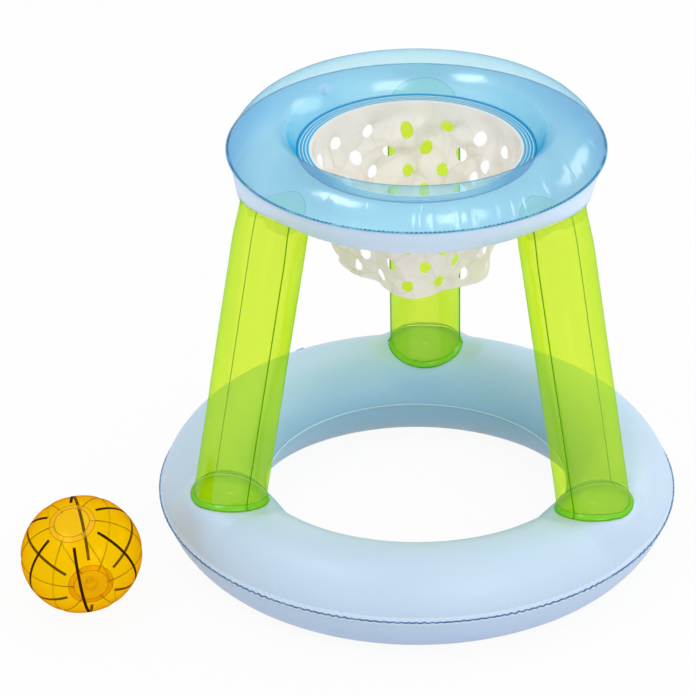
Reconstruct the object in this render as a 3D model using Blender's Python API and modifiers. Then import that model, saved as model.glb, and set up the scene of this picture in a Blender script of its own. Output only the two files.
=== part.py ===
"""Inflatable pool basketball hoop with its small ball, in metres, +Z up.

A fat floor ring carries three leaning legs, the legs carry a rim ring, and a
punched net hangs in the rim. Every chamber is welded from sheets of thin
film, so each sheet, panel, disc and valve piece is a solid of its own. The
ball lies on the floor beside the ring. The origin is under the middle of the
whole set, on the floor.
"""
import math

import bmesh
import bpy
from mathutils import Matrix, Vector

# Driving dimensions: film, running gap and how far a cutter runs past its cut
FILM = 0.0003
GAP = 0.0003
OVERRUN = 0.012
MERGE = 0.00001
SHARP_ANGLE = math.radians(38)

# Floor ring: two sheets welded along an outer and an inner seam
BASE_RADIUS = 0.330
BASE_LIP = 0.003
BASE_HALF_WIDTH = 0.0661
BASE_UPPER_HEIGHT = 0.0614
BASE_LOWER_HEIGHT = 0.0665
BASE_POINT_POWER = 0.67

# Rim ring: a clear upper sheet and an opaque lower sheet, with an inner flange
RIM_RADIUS = 0.2332
RIM_LIP = 0.003
RIM_HALF_WIDTH = 0.0417
RIM_HEIGHT = 0.5471
RIM_UPPER_HEIGHT = 0.0395
RIM_LOWER_HEIGHT = 0.0444
RIM_INNER_DROP = 0.004
RIM_POINT_POWER = 0.80
RIM_UPPER_FLANGE = 0.0163
RIM_LOWER_FLANGE = 0.0100

# Both rings are turned in this many steps
RING_STEPS = 40
UPPER_STATION_SHARES = [math.cos(math.pi * i / 8) for i in range(9)]
LOWER_STATION_SHARES = [1.0, 0.93, 0.72, 0.40, 0.12, -0.12, -0.40, -0.72, -0.93, -1.0]
FLAT_SHARE = 0.12

# Legs: each a tube of an outer and an inner panel, leaning in as it rises
LEG_NAMES = ("rear", "left", "right")
LEG_TURN = math.radians(87.35)
LEG_RADIUS = 0.0455
LEG_HEAD_RADIUS = 0.0412
LEG_HEAD_TAPER = 0.055
FOOT_INSET = 0.0007
HEAD_OUTSET = 0.0055
FOOT_DISC_RADIUS = 0.0485
HEAD_DISC_RADIUS = 0.0350
AIR_HOLE_RADIUS = 0.0050
PANEL_STEPS = 12
DISC_SIDES = 24

# The rings are pressed flat, part of the way, where a leg stands or ends
BASE_PRESS_SHARE = 0.68
RIM_PRESS_SHARE = 0.56
BASE_SEAT_DEPTH = 0.0092
RIM_SEAT_DEPTH = 0.0123
BASE_SEAT_REACH = 0.046
BASE_SEAT_FADE = 0.030
RIM_SEAT_REACH = 0.034
RIM_SEAT_FADE = 0.026

# Net: a punched sleeve with a flat collar held between the rim's flanges
NET_LIP = 0.0017
NET_COLLAR_STOP = 0.0030
NET_PLAIN_BAND = 0.0190
NET_ROW_PITCH = 0.0268
NET_ROWS = 5
NET_HOLES_AROUND = 15
NET_HOLE_RADIUS = 0.0090
NET_HEM = 0.0060
NET_TAPER = 0.0428
NET_FOLD_DEPTH = 0.0085
NET_RIPPLE_DEPTH = 0.0035
NET_FOLDS = 5
NET_RIPPLES = 11
NET_FOLD_TWIST = math.radians(125)
NET_RIPPLE_TWIST = math.radians(-285)
NET_HEM_SLANT = 0.0070
NET_HEM_TURN = math.radians(35)

# Valves: a moulded flange and stem, a stopper on a strap and a check flap
VALVE_FLANGE_RADIUS = 0.0105
VALVE_FLANGE = 0.0008
VALVE_MOUTH_RADIUS = 0.0062
VALVE_MOUTH = 0.0006
VALVE_STEM_RADIUS = 0.0052
VALVE_STEM = 0.0110
VALVE_BORE_RADIUS = 0.0040
VALVE_STEPS = 16
PLUG_HEAD_RADIUS = 0.0056
PLUG_HEAD = 0.0010
PLUG_NECK_RADIUS = 0.0034
PLUG_TIP_RADIUS = 0.0026
PLUG_PIN = 0.0045
STRAP_REACH = 0.0086
STRAP_WIDTH = 0.0030
STRAP = 0.0008
FLAP = 0.0005
BASE_VALVE_OUTLINE_STEPS = 6
BASE_VALVE_TURN_STEPS = 13
RIM_VALVE_OUTLINE_STEPS = 2
RIM_VALVE_TURN_STEPS = 13

# Ball: six gores and two polar discs, its valve in the lower disc
BALL_RADIUS = 0.0755
BALL_POLAR_RADIUS = 0.0681
BALL_CLEARANCE = 0.0482
BALL_BEARING = math.radians(203.4)
BALL_LEAN = math.radians(22.1)
BALL_LEAN_TURN = math.radians(251.9)
BALL_SPIN = math.radians(23.3)
BALL_VALVE_DENT = 0.0030
GORES = 6
GORE_STEPS = 4
GORE_END = math.radians(16.5)
CAP_EDGE = math.radians(22.5)
CAP_FLAT = math.radians(9.0)
GORE_ROWS = 7


def clear_scene():
    """Removes whatever the file holds."""
    for item in list(bpy.data.objects):
        bpy.data.objects.remove(item, do_unlink=True)


def make_collection(name):
    """Makes a collection in the scene and returns it."""
    group = bpy.data.collections.new(name)
    bpy.context.scene.collection.children.link(group)
    return group


def make_material(name, colour, roughness, alpha=1.0):
    """Makes a plain Principled material of one colour."""
    material = bpy.data.materials.new(name)
    material.use_nodes = True
    shader = material.node_tree.nodes["Principled BSDF"]
    shader.inputs["Base Color"].default_value = (*colour, 1.0)
    shader.inputs["Roughness"].default_value = roughness
    shader.inputs["Metallic"].default_value = 0.0
    shader.inputs["Alpha"].default_value = alpha
    return material


def make_empty(name, group, parent=None, frame=None):
    """Makes an empty that carries other pieces."""
    empty = bpy.data.objects.new(name, None)
    group.objects.link(empty)
    empty.parent = parent
    if frame is not None:
        empty.matrix_local = frame
    return empty


def add_object(name, mesh, place, material=None):
    """Links a mesh as a named object under a place: its group, parent and frame."""
    thing = bpy.data.objects.new(name, mesh)
    place["group"].objects.link(thing)
    thing.parent = place.get("parent")
    thing.matrix_local = place.get("frame", Matrix.Identity(4))
    if material is not None:
        mesh.materials.clear()
        mesh.materials.append(material)
    return thing


def as_cutter(thing):
    """Marks an object as a cutter, which is not part of the hoop."""
    thing.hide_render = True
    thing.display_type = "WIRE"
    return thing


def outline_mesh(name, outline, closed):
    """Makes a mesh of one polyline in the XZ plane."""
    mesh = bpy.data.meshes.new(name)
    count = len(outline)
    edges = [(i, i + 1) for i in range(count - 1)]
    if closed:
        edges.append((count - 1, 0))
    mesh.from_pydata([(r, 0.0, z) for r, z in outline], edges, [])
    return mesh


def add_turned(name, outline, place, material=None, steps=RING_STEPS, closed=False,
               angle=math.tau):
    """Turns an outline about Z with a Screw modifier."""
    thing = add_object(name, outline_mesh(name, outline, closed), place, material)
    screw = thing.modifiers.new("turn", "SCREW")
    screw.axis = "Z"
    screw.angle = angle
    screw.steps = steps
    screw.render_steps = steps
    screw.use_merge_vertices = angle == math.tau
    screw.merge_threshold = MERGE
    return thing


def settle(thing, split=False):
    """Turns modifiers into plain mesh, its doubles merged and its quads split on request."""
    bpy.context.view_layer.update()
    graph = bpy.context.evaluated_depsgraph_get()
    mesh = bpy.data.meshes.new_from_object(thing.evaluated_get(graph))
    thing.modifiers.clear()
    thing.data = mesh
    work = bmesh.new()
    work.from_mesh(mesh)
    bmesh.ops.remove_doubles(work, verts=work.verts, dist=MERGE)
    if split:
        bmesh.ops.triangulate(work, faces=work.faces, quad_method="FIXED")
    work.to_mesh(mesh)
    work.free()
    return thing


def thicken(thing, thickness, side):
    """Gives an open surface a wall, inward for side -1 and outward for side 1."""
    wall = thing.modifiers.new("wall", "SOLIDIFY")
    wall.thickness = thickness
    wall.offset = side
    wall.use_even_offset = True


def cut(thing, cutter, operation="DIFFERENCE"):
    """Cuts an object with a cutter, or keeps or adds what both hold."""
    boolean = thing.modifiers.new(operation.lower(), "BOOLEAN")
    boolean.operation = operation
    boolean.solver = "EXACT"
    boolean.object = cutter


def add_cylinder(name, radius, low, high, place, material=None, sides=DISC_SIDES):
    """Adds a capped cylinder from low to high along its own Z."""
    work = bmesh.new()
    shift = Matrix.Translation((0.0, 0.0, (low + high) / 2))
    bmesh.ops.create_cone(work, cap_ends=True, segments=sides, radius1=radius,
                          radius2=radius, depth=high - low, matrix=shift)
    mesh = bpy.data.meshes.new(name)
    work.to_mesh(mesh)
    work.free()
    return add_object(name, mesh, place, material)


def offset_outline(outline, distance):
    """Moves an outline to its left-hand side by a distance, with mitred corners."""
    moved = []
    last = len(outline) - 1
    for i, (r, z) in enumerate(outline):
        before = Vector(outline[i]) - Vector(outline[i - 1]) if i else None
        after = Vector(outline[i + 1]) - Vector(outline[i]) if i < last else None
        first = (before or after).normalized()
        second = (after or before).normalized()
        normal = Vector((-first.y - second.y, first.x + second.x)).normalized()
        reach = distance / max(normal.dot(Vector((-first.y, first.x))), 0.5)
        moved.append((r + normal.x * reach, z + normal.y * reach))
    return moved


class Ring:
    """The section of one inflated ring, welded from an upper and a lower sheet."""

    def __init__(self, radius, lip, half_width, seam_height, upper, lower, power,
                 inner_drop, collar_film, stands):
        self.seam_radius = radius - lip
        self.radius = radius
        self.half_width = half_width
        self.middle = self.seam_radius - half_width
        self.seam_height = seam_height
        self.upper = upper
        self.lower = lower
        self.power = power
        self.inner_drop = inner_drop
        self.collar_film = collar_film
        self.stands = stands

    def seam_level(self, share):
        """Height of the plane through both seams at a share of the half width."""
        return self.seam_height - self.inner_drop * (1 - share) / 2

    def stack(self, share):
        """Half the thickness of what the two sheets clamp, with the sheet itself."""
        outer = GAP / 2 + FILM
        inner = outer + (self.collar_film + GAP) / 2 if self.collar_film else outer
        return outer + (inner - outer) * (1 - share) / 2

    def height(self, share, side):
        """Height of the sheet's outer face, side 1 above and -1 below."""
        share = max(-1.0, min(1.0, share))
        bulge = (1 - share * share) ** self.power
        size = self.upper if side > 0 else self.lower
        if self.stands and side < 0 and abs(share) <= FLAT_SHARE:
            return 0.0
        return self.seam_level(share) + side * (size * bulge + self.stack(share))

    def crest(self, side):
        """Height of the ring's highest line for side 1, or its lowest for side -1."""
        return self.height(0.0, side)

    def bulge_outline(self, side):
        """The inflated part of a sheet, from inner to outer seam above, back below."""
        shares = UPPER_STATION_SHARES if side > 0 else LOWER_STATION_SHARES
        points = [(self.middle + self.half_width * s, self.height(s, side)) for s in shares]
        return points[::-1] if side > 0 else points

    def sheet_outline(self, side, flange):
        """A whole sheet: its bulge with the outer lip and the inner flange."""
        points = self.bulge_outline(side)
        inner = (self.middle - self.half_width - flange, self.height(-1.0, side))
        outer = (self.radius, self.height(1.0, side))
        return [inner, *points, outer] if side > 0 else [outer, *points, inner]


def base_seam_height():
    """Height of the floor ring's seams, so that the ring stands on z = 0."""
    return BASE_LOWER_HEIGHT + GAP / 2 + FILM


BASE = Ring(BASE_RADIUS, BASE_LIP, BASE_HALF_WIDTH, base_seam_height(), BASE_UPPER_HEIGHT,
            BASE_LOWER_HEIGHT, BASE_POINT_POWER, 0.0, 0.0, True)
RIM = Ring(RIM_RADIUS, RIM_LIP, RIM_HALF_WIDTH, RIM_HEIGHT, RIM_UPPER_HEIGHT,
           RIM_LOWER_HEIGHT, RIM_POINT_POWER, RIM_INNER_DROP, FILM, False)


class Leg:
    """The straight axis of one leg, in the hoop's own frame."""

    def __init__(self, name, turn):
        self.name = name
        foot_reach = BASE.middle - FOOT_INSET
        head_reach = RIM.middle + HEAD_OUTSET
        up = Vector((0.0, 0.0, 1.0))
        self.out = Vector((math.cos(turn), math.sin(turn), 0.0))
        self.foot = self.out * foot_reach + up * BASE.crest(1)
        self.head = self.out * head_reach + up * RIM.crest(-1)
        self.length = (self.head - self.foot).length
        self.axis = (self.head - self.foot).normalized()
        self.lean = (foot_reach - head_reach) / (self.head.z - self.foot.z)

    def frame(self):
        """Leg frame at the foot: Z up the leg, X away from the hoop's axis."""
        side = self.axis.cross(self.out).normalized()
        out = side.cross(self.axis).normalized()
        turn = Matrix((out, side, self.axis)).transposed().to_4x4()
        return Matrix.Translation(self.foot) @ turn

    def centre(self, height):
        """The point of the axis at a height."""
        return self.foot + self.axis * self.station(height)

    def station(self, height):
        """How far up the leg's axis a height lies."""
        return (height - self.foot.z) / self.axis.z

    def press(self, point, level, ring):
        """How far a ring's sheet moves towards the leg's flat end at a point."""
        seat = seat_height(ring)
        share = BASE_PRESS_SHARE if ring is BASE else RIM_PRESS_SHARE
        reach = BASE_SEAT_REACH if ring is BASE else RIM_SEAT_REACH
        fade = BASE_SEAT_FADE if ring is BASE else RIM_SEAT_FADE
        middle = self.centre(seat)
        away = Vector((point.x - middle.x, point.y - middle.y, 0.0))
        fall = max(0.0, min(1.0, (away.length - reach) / fade))
        weight = 1 - fall * fall * (3 - 2 * fall)
        plane = seat + self.lean * away.dot(self.out)
        return weight * share * (plane - level)


LEGS = [Leg(name, LEG_TURN + math.tau * i / len(LEG_NAMES)) for i, name in enumerate(LEG_NAMES)]


def seat_height(ring):
    """Height at which the legs' axes meet the plane that their ends press to."""
    return BASE.crest(1) - BASE_SEAT_DEPTH if ring is BASE else RIM.crest(-1) + RIM_SEAT_DEPTH


def press_seats(thing, ring, side):
    """Presses a turned sheet towards the flat ends of the legs."""
    for vertex in settle(thing, split=True).data.vertices:
        point = vertex.co
        share = (math.hypot(point.x, point.y) - ring.middle) / ring.half_width
        if abs(share) < 1:
            level = ring.height(share, side)
            hold = 1 - share ** 4
            shifts = [leg.press(point, level, ring) for leg in LEGS]
            vertex.co.z += hold * sum(shifts)


def add_sheet(name, ring, side, flange, place, material):
    """Adds one sheet of a ring, pressed where the legs meet it."""
    thing = add_turned(name, ring.sheet_outline(side, flange), place, material)
    if (ring is BASE) == (side > 0):
        press_seats(thing, ring, side)
    thicken(thing, FILM, -1)
    return thing


def add_seat_shell(name, ring, side, place, material):
    """Adds a film that lies on a ring's sheet, a gap away from it."""
    outline = offset_outline(ring.bulge_outline(side), GAP)
    thing = add_turned(name, outline, place, material)
    press_seats(thing, ring, side)
    thicken(thing, FILM, 1)
    return thing


def add_end_cutter(name, ring, side, place):
    """Adds the body that trims the legs' panels a gap off their end discs."""
    outline = offset_outline(ring.bulge_outline(side), GAP + FILM + GAP)
    first, last = outline[0], outline[-1]
    widen = side * OVERRUN
    back = ring.seam_height - side * (OVERRUN if side > 0 else OVERRUN * 2)
    outline = [(first[0] - widen, first[1]), *outline, (last[0] + widen, last[1]),
               (last[0] + widen, back), (first[0] - widen, back)]
    thing = add_turned(name, outline, place, closed=True)
    press_seats(thing, ring, side)
    return as_cutter(thing)


def add_leg(leg, trims, places, finishes):
    """Adds one leg's two panels and two end discs, and returns its air hole's cutter."""
    hoop, tools = places["hoop"], places["tools"]
    frame = leg.frame()
    half_gap = math.asin(GAP / 2 / LEG_RADIUS)
    top = leg.station(RIM.seam_height) - OVERRUN / 2
    outline = [(LEG_HEAD_RADIUS, top), (LEG_HEAD_RADIUS, leg.length),
               (LEG_RADIUS, leg.length - LEG_HEAD_TAPER), (LEG_RADIUS, -OVERRUN * 3)]
    for half, turn in (("outer", -math.pi / 2), ("inner", math.pi / 2)):
        spin = Matrix.Rotation(turn + half_gap, 4, "Z")
        place = {**hoop, "frame": frame @ spin}
        panel = add_turned(f"leg_{leg.name}_{half}_panel", outline, place, finishes["leg"],
                           steps=PANEL_STEPS, angle=math.pi - 2 * half_gap)
        thicken(panel, FILM, -1)
        for trim in trims:
            cut(panel, trim)
    ends = (("foot", BASE, 1, FOOT_DISC_RADIUS), ("head", RIM, -1, HEAD_DISC_RADIUS))
    air = add_cylinder(f"air_hole_{leg.name}", AIR_HOLE_RADIUS, -OVERRUN * 3, OVERRUN,
                       {**tools, "frame": frame})
    for end, ring, side, radius in ends:
        disc = add_seat_shell(f"leg_{leg.name}_{end}_disc", ring, side, hoop, finishes["leg"])
        middle = leg.station(seat_height(ring))
        keep = add_cylinder(f"{end}_disc_edge_{leg.name}", radius, middle - OVERRUN * 2,
                            middle + OVERRUN * 2, {**tools, "frame": frame})
        cut(disc, as_cutter(keep), "INTERSECT")
        if end == "foot":
            cut(disc, as_cutter(air))
    return air


def facet_frame(ring, side, flange, strip, step):
    """Frame on the middle of the flat facet so many steps along and round a sheet, Z out."""
    outline = ring.sheet_outline(side, flange)
    half_step = math.pi / RING_STEPS
    (r0, z0), (r1, z1) = outline[strip], outline[strip + 1]
    slope = Vector(((r1 - r0) * math.cos(half_step), 0.0, z1 - z0)).normalized()
    across = Vector((0.0, 1.0, 0.0))
    normal = slope.cross(across).normalized()
    middle = Vector(((r0 + r1) / 2 * math.cos(half_step), 0.0, (z0 + z1) / 2))
    turn = Matrix((across, normal.cross(across), normal)).transposed().to_4x4()
    around = Matrix.Rotation((step * 2 + 1) * half_step, 4, "Z")
    return around @ Matrix.Translation(middle) @ turn


def add_valve(name, place, frame, finish, group):
    """Adds a valve on a flat spot: body, strapped plug and check flap."""
    here = {**place, "frame": frame}
    face = GAP + VALVE_FLANGE
    body = [(VALVE_BORE_RADIUS, face + VALVE_MOUTH), (VALVE_MOUTH_RADIUS, face + VALVE_MOUTH),
            (VALVE_MOUTH_RADIUS, face), (VALVE_FLANGE_RADIUS, face),
            (VALVE_FLANGE_RADIUS, GAP), (VALVE_STEM_RADIUS, GAP),
            (VALVE_STEM_RADIUS, -VALVE_STEM), (VALVE_BORE_RADIUS, -VALVE_STEM)]
    add_turned(f"{name}_body", body, here, finish, steps=VALVE_STEPS, closed=True)
    seat = face + VALVE_MOUTH + GAP
    hinge = Vector((0.0, STRAP_REACH, seat + STRAP / 2))
    plug_place = {**place, "frame": frame @ Matrix.Translation(hinge)}
    plug = [(0.0, PLUG_HEAD - STRAP / 2), (PLUG_HEAD_RADIUS, PLUG_HEAD - STRAP / 2),
            (PLUG_HEAD_RADIUS, -STRAP / 2), (PLUG_NECK_RADIUS, -STRAP / 2),
            (PLUG_TIP_RADIUS, -STRAP / 2 - PLUG_PIN), (0.0, -STRAP / 2 - PLUG_PIN)]
    stopper = settle(add_turned(f"{name}_plug", plug, plug_place, finish, steps=VALVE_STEPS))
    for vertex in stopper.data.vertices:
        vertex.co.y -= STRAP_REACH
    work = bmesh.new()
    bmesh.ops.create_cube(work, size=1.0)
    for vertex in work.verts:
        vertex.co = (vertex.co.x * STRAP_WIDTH, (vertex.co.y - 0.5) * STRAP_REACH,
                     vertex.co.z * STRAP)
    strap_mesh = bpy.data.meshes.new(f"{name}_strap")
    work.to_mesh(strap_mesh)
    work.free()
    strap = add_object(f"{name}_strap", strap_mesh, {**plug_place, "group": group})
    cut(stopper, as_cutter(strap), "UNION")
    flap_hinge = Vector((0.0, VALVE_STEM_RADIUS, -VALVE_STEM - GAP))
    flap_place = {**place, "frame": frame @ Matrix.Translation(flap_hinge)}
    flap = add_cylinder(f"{name}_flap", VALVE_STEM_RADIUS, -FLAP, 0.0, flap_place, finish,
                        sides=VALVE_STEPS)
    for vertex in flap.data.vertices:
        vertex.co.y -= VALVE_STEM_RADIUS


def valve_hole(name, place, frame):
    """Adds the cutter that lets a valve's stem through its sheet."""
    hole = add_cylinder(name, VALVE_STEM_RADIUS + GAP, -OVERRUN / 2, OVERRUN / 2,
                        {**place, "frame": frame}, sides=VALVE_STEPS)
    return as_cutter(hole)


def net_mouth_radius():
    """Radius of the net's mouth, just inside the clear sheet's flange."""
    return RIM.middle - RIM.half_width - RIM_UPPER_FLANGE - NET_LIP


def net_point(turn, depth):
    """Point of the net at a turn about the hoop and a depth along the film."""
    mouth_height = RIM.seam_level(-1.0)
    radius = net_mouth_radius()
    if depth < 0:
        radius -= depth
        return Vector((radius * math.cos(turn), radius * math.sin(turn), mouth_height))
    drop = NET_PLAIN_BAND + NET_ROWS * NET_ROW_PITCH + NET_HEM
    share = depth / drop
    loose = share * share * (3 - 2 * share)
    middle = 4 * share * (1 - share)
    radius -= NET_TAPER * share
    radius += loose * NET_FOLD_DEPTH * math.cos(NET_FOLDS * turn + NET_FOLD_TWIST * share)
    radius += middle * NET_RIPPLE_DEPTH * math.sin(NET_RIPPLES * turn + NET_RIPPLE_TWIST * share)
    fall = depth * math.sqrt(1 - (NET_TAPER / drop) ** 2)
    slant = NET_HEM_SLANT * share * share * math.sin(turn + NET_HEM_TURN)
    return Vector((radius * math.cos(turn), radius * math.sin(turn), mouth_height - fall - slant))


def add_net(place, material):
    """Adds the punched net: plain collar and band, staggered holes, plain hem."""
    columns = NET_HOLES_AROUND * 2
    step = math.tau / columns
    mouth = net_mouth_radius()
    depths = [NET_COLLAR_STOP - RIM_UPPER_FLANGE - NET_LIP, 0.0, NET_PLAIN_BAND]
    depths += [NET_PLAIN_BAND + NET_ROW_PITCH * (i + 1) for i in range(NET_ROWS)]
    depths.append(depths[-1] + NET_HEM)
    work = bmesh.new()
    rows = [[work.verts.new(net_point(step * c, depth)) for c in range(columns)]
            for depth in depths]

    def corner(row, column):
        return rows[row][column % columns]

    plain = (0, 1, len(depths) - 2)
    for row in range(len(depths) - 1):
        middle = (depths[row] + depths[row + 1]) / 2
        for column in range(columns):
            if row in plain:
                work.faces.new((corner(row, column), corner(row + 1, column),
                                corner(row + 1, column + 1), corner(row, column + 1)))
            elif (column + row) % 2:
                edge = [corner(row, column + 1), corner(row, column), corner(row, column - 1),
                        corner(row + 1, column - 1), corner(row + 1, column),
                        corner(row + 1, column + 1)]
                hole = []
                for corner_index in range(6):
                    angle = math.radians(30 + 60 * corner_index)
                    turn = column * step + NET_HOLE_RADIUS * math.cos(angle) / mouth
                    depth = middle - NET_HOLE_RADIUS * math.sin(angle)
                    hole.append(work.verts.new(net_point(turn, depth)))
                for i in range(6):
                    j = (i + 1) % 6
                    work.faces.new((edge[i], edge[j], hole[j], hole[i]))
    bmesh.ops.recalc_face_normals(work, faces=work.faces)
    mesh = bpy.data.meshes.new("net_sleeve")
    work.to_mesh(mesh)
    work.free()
    net = add_object("net_sleeve", mesh, place, material)
    thicken(net, FILM, 0)


def ball_point(angle, lift=0.0):
    """Point of the ball's outline at a polar angle, moved out by a lift."""
    return ((BALL_RADIUS + lift) * math.sin(angle), (BALL_POLAR_RADIUS + lift) * math.cos(angle))


def ball_turn():
    """How the ball lies: its upper pole leans to the front and left."""
    lean = Matrix.Rotation(BALL_LEAN_TURN, 4, "Z") @ Matrix.Rotation(BALL_LEAN, 4, "Y")
    return lean @ Matrix.Rotation(math.pi / 2 + BALL_SPIN, 4, "Z")


def gore_outline():
    """The meridian of a gore, with a point where each disc's edge lies on it."""
    step = (math.pi - 2 * CAP_EDGE) / GORE_ROWS
    angles = [GORE_END, *(CAP_EDGE + step * i for i in range(GORE_ROWS + 1)), math.pi - GORE_END]
    return [ball_point(angle) for angle in angles]


def cap_outline(hole, dent):
    """A polar disc from its hole or middle out to its edge, its flat sunk by a dent."""
    flat_radius, flat_height = ball_point(CAP_FLAT, GAP)
    level = flat_height - dent
    edges = [ball_point(angle, GAP) for angle in (GORE_END, CAP_EDGE)]
    return [(hole, level), (flat_radius, level), *edges]


def ball_extent(axis):
    """How far the ball reaches from its centre against a world axis."""
    turn = ball_turn()
    step = math.tau / (GORES * GORE_STEPS)
    edges = [ball_point(math.pi - angle, GAP + FILM) for angle in (GORE_END, CAP_EDGE)]
    points = [Vector((r * math.cos(i * step), r * math.sin(i * step), z))
              for r, z in gore_outline() + edges for i in range(GORES * GORE_STEPS)]
    return max(-(turn @ point)[axis] for point in points)


def add_ball(places, finishes):
    """Adds the ball: its gores, its two polar discs and its valve."""
    place = places["ball"]
    edge_gap = math.asin(GAP / 2 / (BALL_RADIUS * math.sin(CAP_EDGE)))
    for i in range(GORES):
        spin = Matrix.Rotation(math.tau * i / GORES + edge_gap, 4, "Z")
        gore = add_turned(f"ball_gore_{i + 1}", gore_outline(), {**place, "frame": spin},
                          finishes["ball"], steps=GORE_STEPS,
                          angle=math.tau / GORES - 2 * edge_gap)
        thicken(gore, FILM, -1)
    flip = Matrix.Rotation(math.pi, 4, "X")
    hole = cap_outline(VALVE_STEM_RADIUS + GAP, BALL_VALVE_DENT)
    caps = (("ball_upper_disc", cap_outline(0.0, 0.0), Matrix.Identity(4)),
            ("ball_valve_disc", hole, flip))
    for name, outline, frame in caps:
        cap = add_turned(name, outline, {**place, "frame": frame}, finishes["ball"],
                         steps=GORES * GORE_STEPS)
        thicken(settle(cap), FILM, 1)
    frame = flip @ Matrix.Translation((0.0, 0.0, hole[0][1] + FILM))
    add_valve("ball_valve", place, frame, finishes["ball"], places["tools"]["group"])


def smooth_pieces(group):
    """Settles every piece's modifiers and shades it smooth between sharp edges."""
    for thing in [item for item in group.objects if item.type == "MESH"]:
        settle(thing)
        thing.data.shade_smooth()
        thing.data.set_sharp_from_angle(angle=SHARP_ANGLE)


def main():
    """Builds the hoop and its ball."""
    clear_scene()
    group = make_collection("pool_basketball_hoop")
    tools = make_collection("cutters")
    finishes = {
        "base": make_material("base_vinyl", (0.52, 0.64, 0.83), 0.35),
        "rim_clear": make_material("rim_clear_vinyl", (0.25, 0.60, 0.83), 0.15, 0.6),
        "rim": make_material("rim_vinyl", (0.55, 0.66, 0.87), 0.35),
        "leg": make_material("leg_clear_vinyl", (0.50, 0.80, 0.04), 0.15, 0.6),
        "net": make_material("net_vinyl", (0.88, 0.85, 0.75), 0.5),
        "ball": make_material("ball_clear_vinyl", (0.85, 0.50, 0.02), 0.15, 0.7),
        "valve": make_material("valve_vinyl", (0.85, 0.88, 0.90), 0.3),
    }
    distance = BASE_RADIUS + BALL_CLEARANCE + BALL_RADIUS
    ball_x = distance * math.cos(BALL_BEARING)
    hoop_x = (ball_extent(0) - ball_x - BASE_RADIUS) / 2
    hoop = make_empty("hoop", group, frame=Matrix.Translation((hoop_x, 0.0, 0.0)))
    ball_at = Vector((hoop_x + ball_x, distance * math.sin(BALL_BEARING), ball_extent(2)))
    ball = make_empty("ball", group, frame=Matrix.Translation(ball_at) @ ball_turn())
    places = {"hoop": {"group": group, "parent": hoop}, "ball": {"group": group, "parent": ball},
              "tools": {"group": tools, "parent": hoop}}
    here, aside = places["hoop"], places["tools"]

    add_sheet("base_lower_sheet", BASE, -1, BASE_LIP, here, finishes["base"])
    base_upper = add_sheet("base_upper_sheet", BASE, 1, BASE_LIP, here, finishes["base"])
    add_sheet("rim_upper_sheet", RIM, 1, RIM_UPPER_FLANGE, here, finishes["rim_clear"])
    rim_lower = add_sheet("rim_lower_sheet", RIM, -1, RIM_LOWER_FLANGE, here, finishes["rim"])

    trims = [add_end_cutter("foot_trim", BASE, 1, aside),
             add_end_cutter("head_trim", RIM, -1, aside)]
    for leg in LEGS:
        cut(base_upper, add_leg(leg, trims, places, finishes))
    add_net(here, finishes["net"])

    base_frame = facet_frame(BASE, 1, BASE_LIP, BASE_VALVE_OUTLINE_STEPS, BASE_VALVE_TURN_STEPS)
    cut(base_upper, valve_hole("base_valve_hole", aside, base_frame))
    add_valve("base_valve", here, base_frame, finishes["valve"], tools)
    rim_frame = facet_frame(RIM, -1, RIM_LOWER_FLANGE, RIM_VALVE_OUTLINE_STEPS,
                            RIM_VALVE_TURN_STEPS)
    cut(rim_lower, valve_hole("rim_valve_hole", aside, rim_frame))
    add_valve("rim_valve", here, rim_frame, finishes["valve"], tools)
    add_ball(places, finishes)
    smooth_pieces(group)


main()
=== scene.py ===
"""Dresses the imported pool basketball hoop: its films, welds, punched net and ball.

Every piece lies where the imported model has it, in metres. The hoop stands about a vertical line
through the middle of its floor ring, and angles round that line run from +X towards +Y.
"""
import logging
import math
from dataclasses import dataclass, field
from enum import Enum
from typing import Any, Callable, Iterable, Sequence

import bmesh
import bpy
import numpy as np
from mathutils import Matrix, Vector, noise
from mathutils.bvhtree import BVHTree


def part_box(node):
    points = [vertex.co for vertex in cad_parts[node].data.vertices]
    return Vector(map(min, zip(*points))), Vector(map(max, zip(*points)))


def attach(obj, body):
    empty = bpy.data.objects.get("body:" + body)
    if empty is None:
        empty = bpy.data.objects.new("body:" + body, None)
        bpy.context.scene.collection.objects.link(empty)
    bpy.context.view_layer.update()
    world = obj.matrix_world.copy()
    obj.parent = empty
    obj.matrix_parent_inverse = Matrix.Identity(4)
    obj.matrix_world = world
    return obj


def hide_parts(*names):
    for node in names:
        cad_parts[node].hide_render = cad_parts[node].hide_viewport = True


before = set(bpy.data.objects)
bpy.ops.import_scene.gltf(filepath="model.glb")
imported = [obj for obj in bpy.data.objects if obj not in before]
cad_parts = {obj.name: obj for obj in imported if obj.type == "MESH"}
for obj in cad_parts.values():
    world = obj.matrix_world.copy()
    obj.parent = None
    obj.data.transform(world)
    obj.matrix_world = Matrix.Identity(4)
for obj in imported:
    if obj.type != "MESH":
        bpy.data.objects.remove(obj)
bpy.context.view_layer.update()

LOG = logging.getLogger("pool_hoop")

FILM = 0.0003
GAP = 0.0003
MERGE = 0.00001
SMOOTH_BELOW = math.radians(50)
MOST_SPIN_STEPS = 90
GOLDEN_TURN = 2.39996
PHOTO_SIDE = 696
Points = np.ndarray
Colour = tuple[float, float, float]


class Side(Enum):
    """Which of a ring's two sheets, or of the ball's two poles, is meant."""

    UPPER = 1
    LOWER = -1


class Half(Enum):
    """Which of a leg's two panels is meant."""

    OUTER = "outer"
    INNER = "inner"


class End(Enum):
    """Which of a leg's two ends is meant."""

    FOOT = "foot"
    HEAD = "head"


def bell(distance: Points, width: float) -> Points:
    """A smooth bump of height 1 that is e times lower at one width away."""
    return np.exp(-(distance / width) ** 2)


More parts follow.
